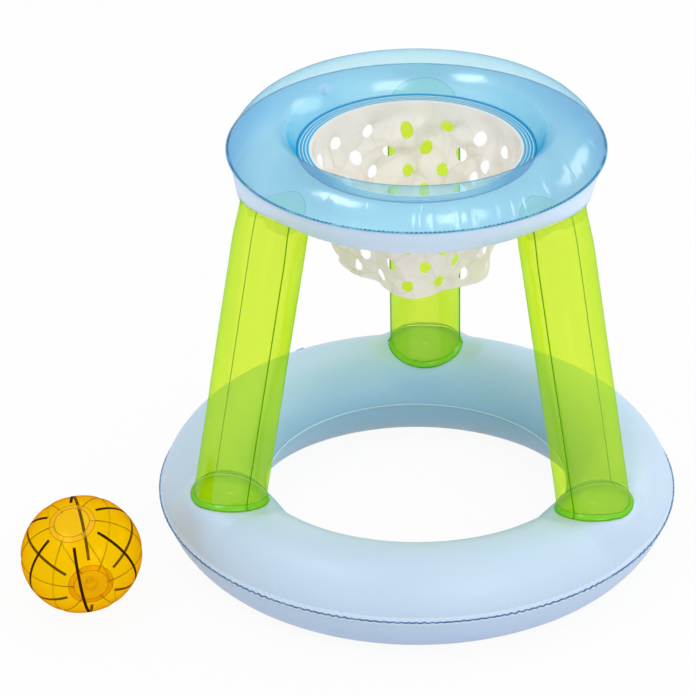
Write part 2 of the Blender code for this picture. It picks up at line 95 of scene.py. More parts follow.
def ease(value: Points) -> Points:
    """A smooth step from 0 to 1 over values from 0 to 1."""
    held = np.clip(value, 0.0, 1.0)
    return held * held * (3 - 2 * held)


def around(angle: Points, centre: float) -> Points:
    """Signed angle from a centre, between minus and plus half a turn."""
    return (angle - centre + math.pi) % math.tau - math.pi


def waves(angle: Points, counts: Sequence[int], turn: float = 0.0) -> Points:
    """Uneven waves round a ring.

    Args:
        angle: Where on the ring each point lies.
        counts: How many waves of each kind go round, the strongest first.
        turn: Shifts the whole pattern.

    Returns:
        Values from about -1 to 1.
    """
    weights = [1 + 0.5 * i for i in range(len(counts))]
    total = sum(np.sin(n * angle + turn * n + 2.4 * i) / weights[i]
                for i, n in enumerate(counts))
    return total / sum(1 / weight for weight in weights)


class Bench:
    """The modelling steps that the pieces share."""

    @staticmethod
    def clear() -> None:
        """Leaves edit mode and deselects everything."""
        if bpy.context.object and bpy.context.object.mode != "OBJECT":
            bpy.ops.object.mode_set(mode="OBJECT")
        bpy.ops.object.select_all(action="DESELECT")

    @staticmethod
    def hold(thing: bpy.types.Object) -> None:
        """Selects one object alone and makes it active."""
        Bench.clear()
        thing.select_set(True)
        bpy.context.view_layer.objects.active = thing

    @staticmethod
    def edit(thing: bpy.types.Object, *steps: Callable[[], Any]) -> None:
        """Runs steps on the whole mesh of one object, in edit mode.

        Args:
            thing: The piece.
            steps: What is run, in order.
        """
        Bench.hold(thing)
        bpy.ops.object.mode_set(mode="EDIT")
        bpy.ops.mesh.select_all(action="SELECT")
        for step in steps:
            step()
        bpy.ops.object.mode_set(mode="OBJECT")

    @staticmethod
    def turned(name: str, outline: Sequence[Sequence[float]], steps: int, centre: Sequence[float],
               axis: Sequence[float] = (0, 0, 1), angle: float = math.tau) -> bpy.types.Object:
        """Draws an outline corner by corner and spins it into a sheet.

        Args:
            name: The piece's name.
            outline: World points of the outline, in order.
            steps: How many steps the whole turn has. Past 90 the axis is upright, and part of
                the turn is spun and then doubled until it closes.
            centre: A point on the spin's axis.
            axis: The spin's axis.
            angle: How far the spin goes.

        Returns:
            The piece as an open sheet.
        """
        Bench.clear()
        corners = [Vector(point) for point in outline]
        bpy.ops.mesh.primitive_plane_add(size=FILM, location=corners[0])
        thing = bpy.context.object
        thing.name = name
        bpy.ops.object.mode_set(mode="EDIT")
        bpy.ops.mesh.merge(type="CENTER")
        for before, after in zip(corners, corners[1:]):
            bpy.ops.mesh.extrude_region_move(TRANSFORM_OT_translate={"value": after - before})
        bpy.ops.mesh.select_all(action="SELECT")
        doublings = 0
        while steps > MOST_SPIN_STEPS and steps % 2 == 0:
            steps, angle, doublings = steps // 2, angle / 2, doublings + 1
        bpy.ops.mesh.spin(steps=steps, angle=angle, center=centre, axis=axis, use_auto_merge=True)
        for _ in range(doublings):
            bpy.ops.mesh.select_all(action="SELECT")
            bpy.ops.mesh.duplicate()
            bpy.ops.transform.rotate(value=angle, orient_axis="Z", center_override=centre)
            angle *= 2
        bpy.ops.mesh.select_all(action="SELECT")
        bpy.ops.mesh.remove_doubles(threshold=MERGE)
        bpy.ops.object.mode_set(mode="OBJECT")
        return Bench.settle(thing)

    @staticmethod
    def rolled(name: str, columns: int, rows: int) -> bpy.types.Object:
        """Lays out a flat grid of film, one unit a side from the origin, ready to be shaped.

        Args:
            name: The piece's name.
            columns: Faces along X.
            rows: Faces along Y.

        Returns:
            The flat piece.
        """
        Bench.clear()
        bpy.ops.mesh.primitive_grid_add(x_subdivisions=columns, y_subdivisions=rows, size=1,
                                        location=(0.5, 0.5, 0))
        thing = bpy.context.object
        thing.name = name
        return Bench.settle(thing)

    @staticmethod
    def settle(thing: bpy.types.Object) -> bpy.types.Object:
        """Applies an object's place, turn and scale to its mesh.

        Args:
            thing: The object.

        Returns:
            The same object.
        """
        Bench.hold(thing)
        bpy.ops.object.transform_apply(location=True, rotation=True, scale=True)
        thing.data.name = thing.name
        return thing

    @staticmethod
    def points(thing: bpy.types.Object) -> Points:
        """The places of a mesh's points, one row each."""
        flat = np.empty(len(thing.data.vertices) * 3, dtype=np.float32)
        thing.data.vertices.foreach_get("co", flat)
        return flat.reshape(-1, 3).astype(float)

    @staticmethod
    def shape(thing: bpy.types.Object, move: Callable[[Points], Points]) -> None:
        """Moves every point of a mesh to where a function puts it."""
        moved = move(Bench.points(thing))
        thing.data.vertices.foreach_set("co", moved.astype(np.float32).ravel())
        thing.data.update()

    @staticmethod
    def face_out(thing: bpy.types.Object, inside: Callable[[Points], Points]) -> None:
        """Turns a sheet's faces away from its inner side.

        Args:
            thing: An open sheet.
            inside: Gives, for points of the sheet, a point on the inner side of each.
        """
        Bench.edit(thing, lambda: bpy.ops.mesh.remove_doubles(threshold=MERGE),
                   lambda: bpy.ops.mesh.normals_make_consistent(inside=False))
        count = len(thing.data.polygons)
        centres, normals = np.empty(count * 3), np.empty(count * 3)
        thing.data.polygons.foreach_get("center", centres)
        thing.data.polygons.foreach_get("normal", normals)
        centres, normals = centres.reshape(-1, 3), normals.reshape(-1, 3)
        if np.sum((centres - inside(centres)) * normals) < 0:
            Bench.edit(thing, bpy.ops.mesh.flip_normals)

    @staticmethod
    def wall(thing: bpy.types.Object, offset: float = -1) -> None:
        """Gives a sheet the thickness of film, inwards by default, and shades it smooth.

        Where the sheet has a second material, its inner face takes it.

        Args:
            thing: The sheet.
            offset: Where the thickness lies: -1 on the inner side, 0 on both sides.
        """
        Bench.hold(thing)
        wall = thing.modifiers.new("wall", "SOLIDIFY")
        wall.thickness = FILM
        wall.offset = offset
        wall.material_offset = 1
        wall.use_even_offset = True
        bpy.ops.object.modifier_apply(modifier=wall.name)
        bpy.ops.object.shade_smooth_by_angle(angle=SMOOTH_BELOW)

    @staticmethod
    def lay_uv(thing: bpy.types.Object, place: Callable[[Points], Points],
               name: str = "film", turns: bool = False) -> None:
        """Writes a UV map from the places of a mesh's points.

        Args:
            thing: The piece.
            place: Gives a pair of numbers for each point.
            name: The map's name.
            turns: Says that the first number is an angle and every face has four corners, so
                that no face spans the jump from half a turn to minus half a turn.
        """
        mesh = thing.data
        pairs = place(Bench.points(thing))
        corners = np.empty(len(mesh.loops), dtype=np.int32)
        mesh.loops.foreach_get("vertex_index", corners)
        laid = pairs[corners].astype(np.float32)
        if turns:
            angles = laid[:, 0].reshape(-1, 4)
            laid[:, 0] = (angles[:, :1] + around(angles, angles[:, :1])).ravel()
        layer = mesh.uv_layers.get(name) or mesh.uv_layers.new(name=name)
        layer.data.foreach_set("uv", laid.ravel())

    @staticmethod
    def tree(thing: bpy.types.Object) -> BVHTree:
        """A search tree of a mesh's faces, for laying other films on it."""
        faces = [tuple(face.vertices) for face in thing.data.polygons]
        return BVHTree.FromPolygons([tuple(p) for p in Bench.points(thing)], faces)

    @staticmethod
    def place(thing: bpy.types.Object, body: str, slot: str, finish: bpy.types.Material | None,
              nodes: Iterable[str]) -> bpy.types.Object:
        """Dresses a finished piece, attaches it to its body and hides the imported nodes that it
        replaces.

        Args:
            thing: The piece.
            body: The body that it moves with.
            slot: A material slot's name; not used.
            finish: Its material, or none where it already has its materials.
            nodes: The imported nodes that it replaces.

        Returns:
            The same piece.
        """
        if finish:
            thing.data.materials.clear()
            thing.data.materials.append(finish)
        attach(thing, body)
        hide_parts(*nodes)
        LOG.info("%s: %d faces on %s", thing.name, len(thing.data.polygons), body)
        return thing


class Value:
    """A number in a material, which Python's operators turn into Math nodes."""

    def __init__(self, tree: "Finish", socket: Any) -> None:
        """Keeps the tree that new nodes go to and the socket or number itself."""
        self.tree = tree
        self.socket = socket

    def math(self, operation: str, *others: Any) -> "Value":
        """Adds a Math node.

        Args:
            operation: The node's operation.
            others: Its further inputs.

        Returns:
            The node's result.
        """
        values = {i: item for i, item in enumerate((self, *others))}
        return self.tree.node("Math", {"operation": operation}, values)

    def __add__(self, other: Any) -> "Value":
        """Self plus other."""
        return self.math("ADD", other)

    def __sub__(self, other: Any) -> "Value":
        """Self minus other."""
        return self.math("SUBTRACT", other)

    def __mul__(self, other: Any) -> "Value":
        """Self times other."""
        return self.math("MULTIPLY", other)

    def __pow__(self, other: Any) -> "Value":
        """Self to the power of other."""
        return self.math("POWER", other)

    def __rsub__(self, other: Any) -> "Value":
        """Other minus self."""
        return Value(self.tree, other).math("SUBTRACT", self)

    __radd__ = __add__
    __rmul__ = __mul__

    def ramp(self, low: float, high: float) -> "Value":
        """A smooth step from 0 at low to 1 at high."""
        values = {"Value": self, "From Min": low, "From Max": high}
        return self.tree.node("MapRange", {"interpolation_type": "SMOOTHSTEP"}, values)

    def band(self, middle: float, half: float, soft: float) -> "Value":
        """1 within half of a middle, falling to 0 over a soft edge."""
        return 1 - (self - middle).math("ABSOLUTE").ramp(half, half + soft)


class Finish:
    """One material, or the world, under construction."""

    def __init__(self, name: str, world: bpy.types.World | None = None) -> None:
        """Starts an empty material, or empties the world, and adds its output.

        Args:
            name: The material's name.
            world: The world, where that is what is built.
        """
        self.owner = world or bpy.data.materials.new(name)
        self.owner.use_nodes = True
        self.nodes = self.owner.node_tree.nodes
        self.nodes.clear()
        self.output = self.nodes.new(f"ShaderNodeOutput{'World' if world else 'Material'}")

    def node(self, kind: str, settings: dict[str, Any] | None = None,
             values: dict[Any, Any] | None = None, result: Any = 0) -> Value:
        """Adds a shader node.

        Args:
            kind: The node's type, without ShaderNode.
            settings: The node's properties.
            values: Numbers, colours or links for its inputs, by name or number.
            result: Which of its outputs is wanted.

        Returns:
            The wanted output.
        """
        made = self.nodes.new(f"ShaderNode{kind}")
        for key, setting in (settings or {}).items():
            setattr(made, key, setting)
        for key, value in (values or {}).items():
            socket = made.inputs[key]
            inner = value.socket if isinstance(value, Value) else value
            if isinstance(inner, bpy.types.NodeSocket):
                self.owner.node_tree.links.new(inner, socket)
            elif socket.type == "RGBA" and len(inner) == 3:
                socket.default_value = (*inner, 1.0)
            else:
                socket.default_value = inner
        return Value(self, made.outputs[result])

    def blend(self, share: Any, first: Any, second: Any) -> Value:
        """Mixes two colours, the second by a share."""
        return self.node("Mix", {"data_type": "RGBA"}, {0: share, 6: first, 7: second}, 2)

    def coats(self, colour: Any, layers: Iterable[tuple[Value, Colour]]) -> Value:
        """Lays further colours over a first one, each by its share."""
        for share, paint in layers:
            colour = self.blend(share, colour, paint)
        return colour

    def coords(self) -> Value:
        """The place on the object, in metres."""
        return self.node("TexCoord", result="Object")

    def split(self, vector: Value, *axes: int) -> tuple[Value, ...]:
        """The numbers of a vector along some of its axes."""
        return tuple(self.node("SeparateXYZ", values={0: vector}, result=i) for i in axes)

    def uv(self, name: str = "film") -> tuple[Value, Value]:
        """The two numbers of one of the piece's own maps."""
        return self.split(self.node("UVMap", {"uv_map": name}), 0, 1)

    def cloud(self, scale: float, detail: float = 2.0, roughness: float = 0.5) -> Value:
        """Soft noise, as a number from 0 to 1."""
        values = {"Vector": self.coords(), "Scale": scale, "Detail": detail,
                  "Roughness": roughness}
        return self.node("TexNoise", values=values)

    def about(self, x: float, y: float) -> tuple[Value, Value]:
        """Distance and angle of a point about an upright axis at x, y."""
        across, along = self.split(self.coords(), 0, 1)
        across, along = across - x, along - y
        return (across * across + along * along) ** 0.5, along.math("ARCTAN2", across)

    def bump(self, height: Value, distance: float, strength: float = 1.0) -> Value:
        """A normal from a height of 0 to 1 over a distance in metres."""
        values = {"Height": height, "Distance": distance, "Strength": strength}
        return self.node("Bump", values=values)

    def ripple(self, scale: float, distance: float, strength: float) -> Value:
        """A normal from soft noise of one scale."""
        return self.bump(self.cloud(scale, 2.0), distance, strength)

    def seen(self) -> Value:
        """1 on rays that a camera, a mirror or clear film sends out, which have to see white."""
        camera, mirror, through = (self.node("LightPath", result=f"Is {ray} Ray")
                                   for ray in ("Camera", "Glossy", "Transmission"))
        return camera.math("MAXIMUM", mirror).math("MAXIMUM", through)

    def principled(self, values: dict[str, Any]) -> Value:
        """Adds the main shader with the given inputs."""
        return self.node("BsdfPrincipled", values=values)

    def done(self, surface: Value) -> bpy.types.Material:
        """Connects the surface and returns what was built."""
        self.owner.node_tree.links.new(surface.socket, self.output.inputs["Surface"])
        return self.owner


@dataclass(frozen=True)
class OpaqueFilm:
    """Satin vinyl film that hides what is behind it."""

    name: str
    colour: Colour
    deep: Colour
    roughness: float

    def base(self, tree: Finish) -> Value:
        """The film's colour, with the slow drift that stretched vinyl shows."""
        return tree.blend(tree.cloud(9.0, 3.0), self.colour, self.deep)

    def shader(self, tree: Finish, colour: Value) -> bpy.types.Material:
        """Finishes the film with a colour, its sheen and fine unevenness.

        Args:
            tree: The material.
            colour: Its colour with all marks.

        Returns:
            The material.
        """
        grain = tree.cloud(260.0, 3.0, 0.6)
        streak = tree.cloud(34.0, 2.0)
        normal = tree.bump(grain * 0.35 + streak * 0.65, 0.0006, 0.35)
        rough = self.roughness + (streak - 0.5) * 0.12
        return tree.done(tree.principled({"Base Color": colour, "Roughness": rough,
                                          "Normal": normal, "IOR": 1.5}))


@dataclass(frozen=True)
class ClearFilm:
    """Tinted see-through vinyl film."""

    name: str
    tint: Colour
    deep: Colour
    edge: Colour
    milk: Colour
    haze: float
    gloss: float = 0.045
    sheen: Colour = (1.0, 1.0, 1.0)
    patchy_haze: float = 0.8
    even_haze: float = 0.6
    marked_gloss: float = 0.75
    grazing_gloss: float = 2.6
    roughness: float = 0.19

    def shader(self, tree: Finish, marks: Sequence[tuple[Value, Colour, float]] = (),
               bump: Value | None = None, cloudy: Value | None = None) -> bpy.types.Material:
        """Finishes the film.

        Args:
            tree: The material.
            marks: A mask, a colour and how solid it is for each mark on the film.
            bump: A normal for its gloss.
            cloudy: Where it is less clear, soft patches by default.

        Returns:
            The material.
        """
        cloudy = cloudy or tree.cloud(26.0, 2.0)
        facing = tree.node("LayerWeight", values={"Blend": 0.5}, result="Facing")
        flat, deep, edge = (tree.node("BsdfTransparent", values={"Color": colour})
                            for colour in (self.tint, self.deep, self.edge))
        see = tree.node("MixShader", values={0: facing ** 2.0, 1: flat, 2: deep})
        turned = (facing ** 8.0) * 0.5 + (facing ** 30.0) * 0.5
        see = tree.node("MixShader", values={0: turned, 1: see, 2: edge})
        colour = self.milk
        solid = cloudy * self.haze * self.patchy_haze + self.haze * self.even_haze
        bare = Value(tree, 1.0)
        for mask, paint, share in marks:
            colour = tree.blend(mask, colour, paint)
            solid = solid + (share - solid) * mask
            bare = bare - mask * share * self.marked_gloss
        shine = {"Roughness": self.roughness}
        if bump:
            shine["Normal"] = bump
        body = tree.principled({"Base Color": colour, "Specular IOR Level": 0.0, **shine})
        film = tree.node("MixShader", values={0: solid, 1: see, 2: body})
        mirror = tree.node("BsdfAnisotropic", values={"Color": self.sheen, **shine})
        glance = (facing ** 5.0 * self.gloss * self.grazing_gloss + self.gloss) * bare
        return tree.done(tree.node("MixShader", values={0: glance, 1: film, 2: mirror}))


BASE_FILM = OpaqueFilm("base_vinyl_film", colour=(0.545, 0.675, 0.815), deep=(0.50, 0.64, 0.79),
                       roughness=0.40)
RIM_FILM = OpaqueFilm("rim_vinyl_film", colour=(0.65, 0.785, 0.94), deep=(0.62, 0.755, 0.92),
                      roughness=0.34)
RIM_CLEAR = ClearFilm("rim_clear_film", tint=(0.915, 0.98, 0.99), deep=(0.745, 0.89, 0.94),
                      edge=(0.08, 0.46, 0.66), milk=(0.50, 0.86, 0.98), haze=0.065, gloss=0.055)
LEG_CLEAR = ClearFilm("leg_clear_film", tint=(0.952, 0.982, 0.44), deep=(0.82, 0.94, 0.22),
                      edge=(0.50, 0.78, 0.06), milk=(0.52, 0.99, 0.01), haze=0.09)
BALL_CLEAR = ClearFilm("ball_clear_film", tint=(0.985, 0.88, 0.03), deep=(0.95, 0.77, 0.01),
                       edge=(0.70, 0.34, 0.005), milk=(0.96, 0.55, 0.0), haze=0.04,
                       gloss=0.026, sheen=(1.0, 0.62, 0.08))
BALL_VALVE = ClearFilm("ball_valve_moulded", tint=(1.0, 0.96, 0.70), deep=(0.97, 0.88, 0.45),
                       edge=(0.90, 0.70, 0.30), milk=(1.0, 0.84, 0.45), haze=0.16,
                       gloss=0.03, sheen=(1.0, 0.86, 0.45))
# Painted shade for the floor ring: its rear, its low outer side and its inner wall.
BASE_REAR_SHADE, BASE_LOW_SHADE, BASE_WALL_SHADE = (0.47, 0.67, 0.84), (0.465, 0.60, 0.87), (0.17, 0.46, 0.72)
# Lip colours: the pale ones are painted highlights; the outer seam colour is a dark weld edge
# with painted shadow.
BASE_LIP_HIGHLIGHT, BASE_SEAM_AND_SHADOW = (0.82, 0.91, 0.97), (0.05, 0.18, 0.40)
BASE_INNER_LIP_HIGHLIGHT, BASE_INNER_SEAM = (0.84, 0.93, 0.97), (0.12, 0.34, 0.54)
# The rim's inner face; its deeper blue is painted shade.
RIM_INSIDE, RIM_INSIDE_SHADE, RIM_UNDER_SEAM = (0.52, 0.785, 0.90), (0.07, 0.46, 0.80), (0.05, 0.40, 0.70)
HEAD_PATCH, HEAD_WELD = (0.22, 0.68, 0.52), (0.05, 0.40, 0.50)
# The flange blue is partly painted; the wall colour is painted shade.
RIM_FLANGE, RIM_WALL_SHADE, RIM_EDGE = (0.06, 0.62, 0.92), (0.01, 0.48, 0.80), (0.02, 0.34, 0.64)
RING_SHINE, RING_BLUE, RIM_SEAM = (0.86, 0.96, 1.0), (0.01, 0.30, 0.62), (0.01, 0.16, 0.34)
LEG_PATCH, LEG_SKIRT, LEG_BEAD = (0.45, 0.78, 0.005), (0.18, 0.74, 0.004), (0.05, 0.42, 0.004)
LEG_EDGE, LEG_SEAM = (0.03, 0.30, 0.004), (0.10, 0.48, 0.005)
NET_CREAM, NET_SHADE = (1.0, 0.965, 0.93), (0.99, 0.93, 0.86)
# The first colour below is painted shade in the net's creases.
NET_FOLD_SHADE, NET_GLOW = (0.74, 0.66, 0.52), (1.0, 0.96, 0.93)
BALL_SEAM, BALL_STRIPE = (0.09, 0.018, 0.0), (0.032, 0.008, 0.001)
DISC_MILK, DISC_RING, DISC_LINE = (1.0, 0.78, 0.34), (1.0, 0.78, 0.06), (0.50, 0.20, 0.005)
VALVE_CLEAR, VALVE_DEEP = (0.60, 0.76, 0.90), (0.54, 0.71, 0.87)


@dataclass(frozen=True)
class RingSection:
    """The section of an inflated ring, welded from an upper and a lower sheet."""

    radius: float
    lip: float
    half_width: float
    seam_height: float
    upper: float
    lower: float
    power: float
    inner_drop: float
    clamped: float
    flange: dict[Side, float]
    flange_steps: int = 12

    @property
    def middle(self) -> float:
        """Radius of the section's middle."""
        return self.radius - self.lip - self.half_width

    @property
    def outer_seam(self) -> float:
        """Radius at which the outer lip starts."""
        return self.radius - self.lip

    @property
    def inner_seam(self) -> float:
        """Radius at which the inner flange starts."""
        return self.middle - self.half_width

    def crest(self, side: Side) -> float:
        """Height of a sheet's outer face in the middle of the section."""
        return self.height(np.array(0.0), side)

    def height(self, share: Points, side: Side) -> Points:
        """Height of a sheet's outer face.

        Args:
            share: Place across the section, -1 at the inner and 1 at the outer seam.
            side: Which sheet.

        Returns:
            The heights.
        """
        share = np.clip(share, -1.0, 1.0)
        size = self.upper if side is Side.UPPER else self.lower
        bulge = (1 - share * share) ** self.power
        stack = GAP / 2 + FILM + self.clamped / 2 * (1 - share) / 2
        seam = self.seam_height - self.inner_drop * (1 - share) / 2
        return seam + side.value * (size * bulge + stack)

    def arc(self, radius: Points, side: Side) -> Points:
        """Length along a sheet's section from its middle, negative towards the hoop's axis.

        Args:
            radius: Radii about the hoop's axis.
            side: Which sheet.

        Returns:
            The lengths.
        """
        half = 200
        shares = np.linspace(-1, 1, 2 * half + 1)
        heights = self.height(shares, side)
        steps = np.hypot(np.diff(shares) * self.half_width, np.diff(heights))
        lengths = np.concatenate(((0.0,), np.cumsum(steps)))
        lengths -= lengths[half]
        share = (radius - self.middle) / self.half_width
        beyond = (share - np.clip(share, -1, 1)) * self.half_width
        return np.interp(share, shares, lengths) + beyond

    def outline(self, side: Side, count: int) -> list[tuple[float, float]]:
        """Radius and height along a sheet, from its inner flange to its outer lip.

        Args:
            side: Which sheet.
            count: How many corners the inflated part has.

        Returns:
            The corners, in order.
        """
        shares = -np.cos(np.linspace(0, math.pi, count))
        radii = [self.middle + self.half_width * share for share in shares]
        heights = [float(z) for z in self.height(shares, side)]
        flange = np.linspace(radii[0] - self.flange[side], radii[0], self.flange_steps)[:-1]
        lip = np.linspace(radii[-1], self.radius, 4)[1:]
        points = [(float(r), heights[0]) for r in flange] + list(zip(radii, heights))
        return points + [(float(r), heights[-1]) for r in lip]


HOOP_LOW, HOOP_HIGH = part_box("base_lower_sheet")
HOOP_X = (HOOP_LOW[0] + HOOP_HIGH[0]) / 2
BASE_RADIUS = (HOOP_HIGH[0] - HOOP_LOW[0]) / 2
BASE_HALF_HEIGHT = 0.0665
BASE = RingSection(radius=BASE_RADIUS, lip=0.003, half_width=0.0661,
                   seam_height=BASE_HALF_HEIGHT + GAP / 2 + FILM, upper=0.0614,
                   lower=BASE_HALF_HEIGHT, power=0.67, inner_drop=0.0, clamped=0.0,
                   flange={Side.UPPER: 0.003, Side.LOWER: 0.003}, flange_steps=4)
RIM = RingSection(radius=0.2332, lip=0.003, half_width=0.0417, seam_height=0.5471,
                  upper=0.0395, lower=0.0444, power=0.80, inner_drop=0.004,
                  clamped=FILM + GAP, flange={Side.UPPER: 0.0163, Side.LOWER: 0.0100})


@dataclass(frozen=True)
class LegLine:
    """Where one leg stands and leans."""

    name: str
    turn: float
    radius: float = 0.0455
    head_radius: float = 0.0425
    foot_reach: float = 0.2602
    head_reach: float = 0.1940

    @property
    def out(self) -> Points:
        """Unit vector from the hoop's axis towards the leg."""
        return np.array((math.cos(self.turn), math.sin(self.turn), 0.0))

    @property
    def foot(self) -> Points:
        """Where the leg's axis meets the floor ring's crest."""
        return np.array((HOOP_X, 0, BASE.crest(Side.UPPER))) + self.out * self.foot_reach

    @property
    def head(self) -> Points:
        """Where the leg's axis meets the rim's underside."""
        return np.array((HOOP_X, 0, RIM.crest(Side.LOWER))) + self.out * self.head_reach

    @property
    def axis(self) -> Points:
        """Unit vector up the leg."""
        line = self.head - self.foot
        return line / np.linalg.norm(line)

    @property
    def across(self) -> Points:
        """Unit vector square to the leg, along the ring."""
        across = np.cross(self.axis, self.out)
        return across / np.linalg.norm(across)

    @property
    def outer(self) -> Points:
        """Unit vector square to the leg's axis, away from the hoop."""
        return np.cross(self.across, self.axis)

    def local(self, points: Points) -> tuple[Points, Points, Points]:
        """Angle from the outer side, distance from the axis and height up the leg."""
        away = points - self.foot
        x, y = away @ self.outer, away @ self.across
        return np.arctan2(y, x), np.hypot(x, y), away @ self.axis

    def world(self, angle: Points, radius: Points, up: Points) -> Points:
        """The points at angles and distances about the axis, and heights up the leg."""
        angle, radius, up = np.broadcast_arrays(angle, radius, up)
        side = np.cos(angle)[:, None] * self.outer + np.sin(angle)[:, None] * self.across
        return self.foot + side * radius[:, None] + up[:, None] * self.axis

    def press(self, points: Points, level: Points, seat: float, share: float, reach: float,
              fade: float) -> Points:
        """How far a ring's sheet moves towards the leg's flat end.

        Args:
            points: Places on the sheet.
            level: The sheet's own height there.
            seat: Height at which the leg's axis meets the flat end.
            share: How much of the way the sheet gives.
            reach: How far from the axis it gives fully.
            fade: How far beyond that it gives less and less.

        Returns:
            The vertical moves.
        """
        lean = -(self.head - self.foot) @ self.out / (self.head[2] - self.foot[2])
        middle = self.foot + self.axis * (seat - self.foot[2]) / self.axis[2]
        away = points[:, :2] - middle[:2]
        radial, distance = away @ self.out[:2], np.hypot(*away.T)
        move = seat + lean * radial - level
        along_ring = 1 - np.abs(radial) / np.maximum(distance, reach)
        width = np.where(move > 0, fade * (1 - 0.65 * along_ring), fade)
        return (1 - ease((distance - reach) / width)) * share * move


LEGS = [LegLine(name, math.radians(87.35) + math.tau * i / 3)
        for i, name in enumerate(("rear", "left", "right"))]


@dataclass
class InflatedRing:
    """A ring of two sheets, welded together along an outer and an inner seam."""

    section: RingSection
    steps: int
    stations: int
    ripples: Sequence[int]
    ripple_height: float
    pucker_height: float
    seat: float
    seat_share: float
    seat_reach: float
    seat_fade: float
    seat_side: Side
    head_bulge: float = 0.0
    bulge_half_angle: float = math.radians(13)
    bulge_at: float = 0.80
    pucker_at: float = 0.93
    lean_of_pucker: float = 0.7
    inner_crease_at: float = -0.86
    surfaces: dict[Side, BVHTree] = field(default_factory=dict)

    def polar(self, points: Points) -> tuple[Points, Points, Points]:
        """Radius, angle and share across the section of points.

        Args:
            points: Places in the world.

        Returns:
            The three rows of numbers.
        """
        x, y = points[:, 0] - HOOP_X, points[:, 1]
        radius = np.hypot(x, y)
        share = (radius - self.section.middle) / self.section.half_width
        return radius, np.arctan2(y, x), share

    def form(self, points: Points, side: Side) -> Points:
        """Presses, puckers and creases a turned sheet.

        Args:
            points: The sheet's points as they were turned.
            side: Which sheet it is.

        Returns:
            The points where inflated film lies.
        """
        radius, angle, share = self.polar(points)
        inside = np.abs(share) < 1
        hold = np.where(inside, 1 - np.clip(share, -1, 1) ** 8, 0.0)
        slow = 0.65 + 0.35 * waves(angle, (7, 11, 17), 0.4)
        pucker = self.puckers(angle, share) * slow * inside * self.lean_of_pucker
        moved = points.copy()
        if side is self.seat_side:
            for leg in LEGS:
                moved[:, 2] += hold * leg.press(points, points[:, 2], self.seat, self.seat_share,
                                                self.seat_reach, self.seat_fade)
        edge = ease((share - self.pucker_at) / (1 - self.pucker_at))
        moved[:, 2] += self.ripple_height * waves(angle, self.ripples) * slow * edge
        long = waves(angle, (23, 31, 41), 1.3) * bell(share - self.inner_crease_at, 0.16) * inside
        moved[:, 2] += side.value * (pucker + long * self.pucker_height * 0.5)
        out = 1 + pucker / radius
        if side is Side.LOWER and self.head_bulge:
            for leg in LEGS:
                near = bell(around(angle, leg.turn), self.bulge_half_angle)
                low = bell(share - self.bulge_at, 0.30) * hold
                out += near * low * self.head_bulge / radius
        moved[:, 0] = HOOP_X + (moved[:, 0] - HOOP_X) * out
        moved[:, 1] *= out
        if side is Side.LOWER and self.section is BASE:
            moved[:, 2] = np.maximum(moved[:, 2] - 0.0004, 0.0)
        return moved

    def puckers(self, angle: Points, share: Points) -> Points:
        """How far the sharp creases beside the outer seam push the film outwards."""
        tuck = waves(angle, self.ripples[1:], 0.7)
        fade = bell(share - self.pucker_at, 0.10) * np.clip(np.abs(share - 1) / 0.06, 0, 1)
        return self.pucker_height * fade * (1 - 2 * np.abs(tuck) ** 0.7)

    def sheet(self, side: Side, name: str,
              finishes: Sequence[bpy.types.Material]) -> bpy.types.Object:
        """Builds one sheet with its flange, lip and wall.

        Args:
            side: Which sheet.
            name: Its name.
            finishes: Its material outside and, where there are two, inside.

        Returns:
            The sheet.
        """
        outline = [(HOOP_X + r, 0.0, z) for r, z in self.section.outline(side, self.stations)]
        thing = Bench.turned(name, outline, self.steps, (HOOP_X, 0, 0))

        def flat(points: Points) -> Points:
            """Angle round the ring and length across its section."""
            radius, angle, _ = self.polar(points)
            return np.column_stack((angle, self.section.arc(radius, side)))

        Bench.lay_uv(thing, flat, turns=True)
        Bench.shape(thing, lambda points: self.form(points, side))

        def core(points: Points) -> Points:
            """The ring's middle line beside each point.

            Args:
                points: Places on the sheet.

            Returns:
                A place inside the ring for each.
            """
            _, angle, _ = self.polar(points)
            level = np.full(len(points), self.section.seam_height)
            middle = self.section.middle
            x, y = HOOP_X + middle * np.cos(angle), middle * np.sin(angle)
            return np.column_stack((x, y, level))

        Bench.face_out(thing, core)
        self.surfaces[side] = Bench.tree(thing)
        for finish in finishes:
            thing.data.materials.append(finish)
        Bench.wall(thing)
        return thing


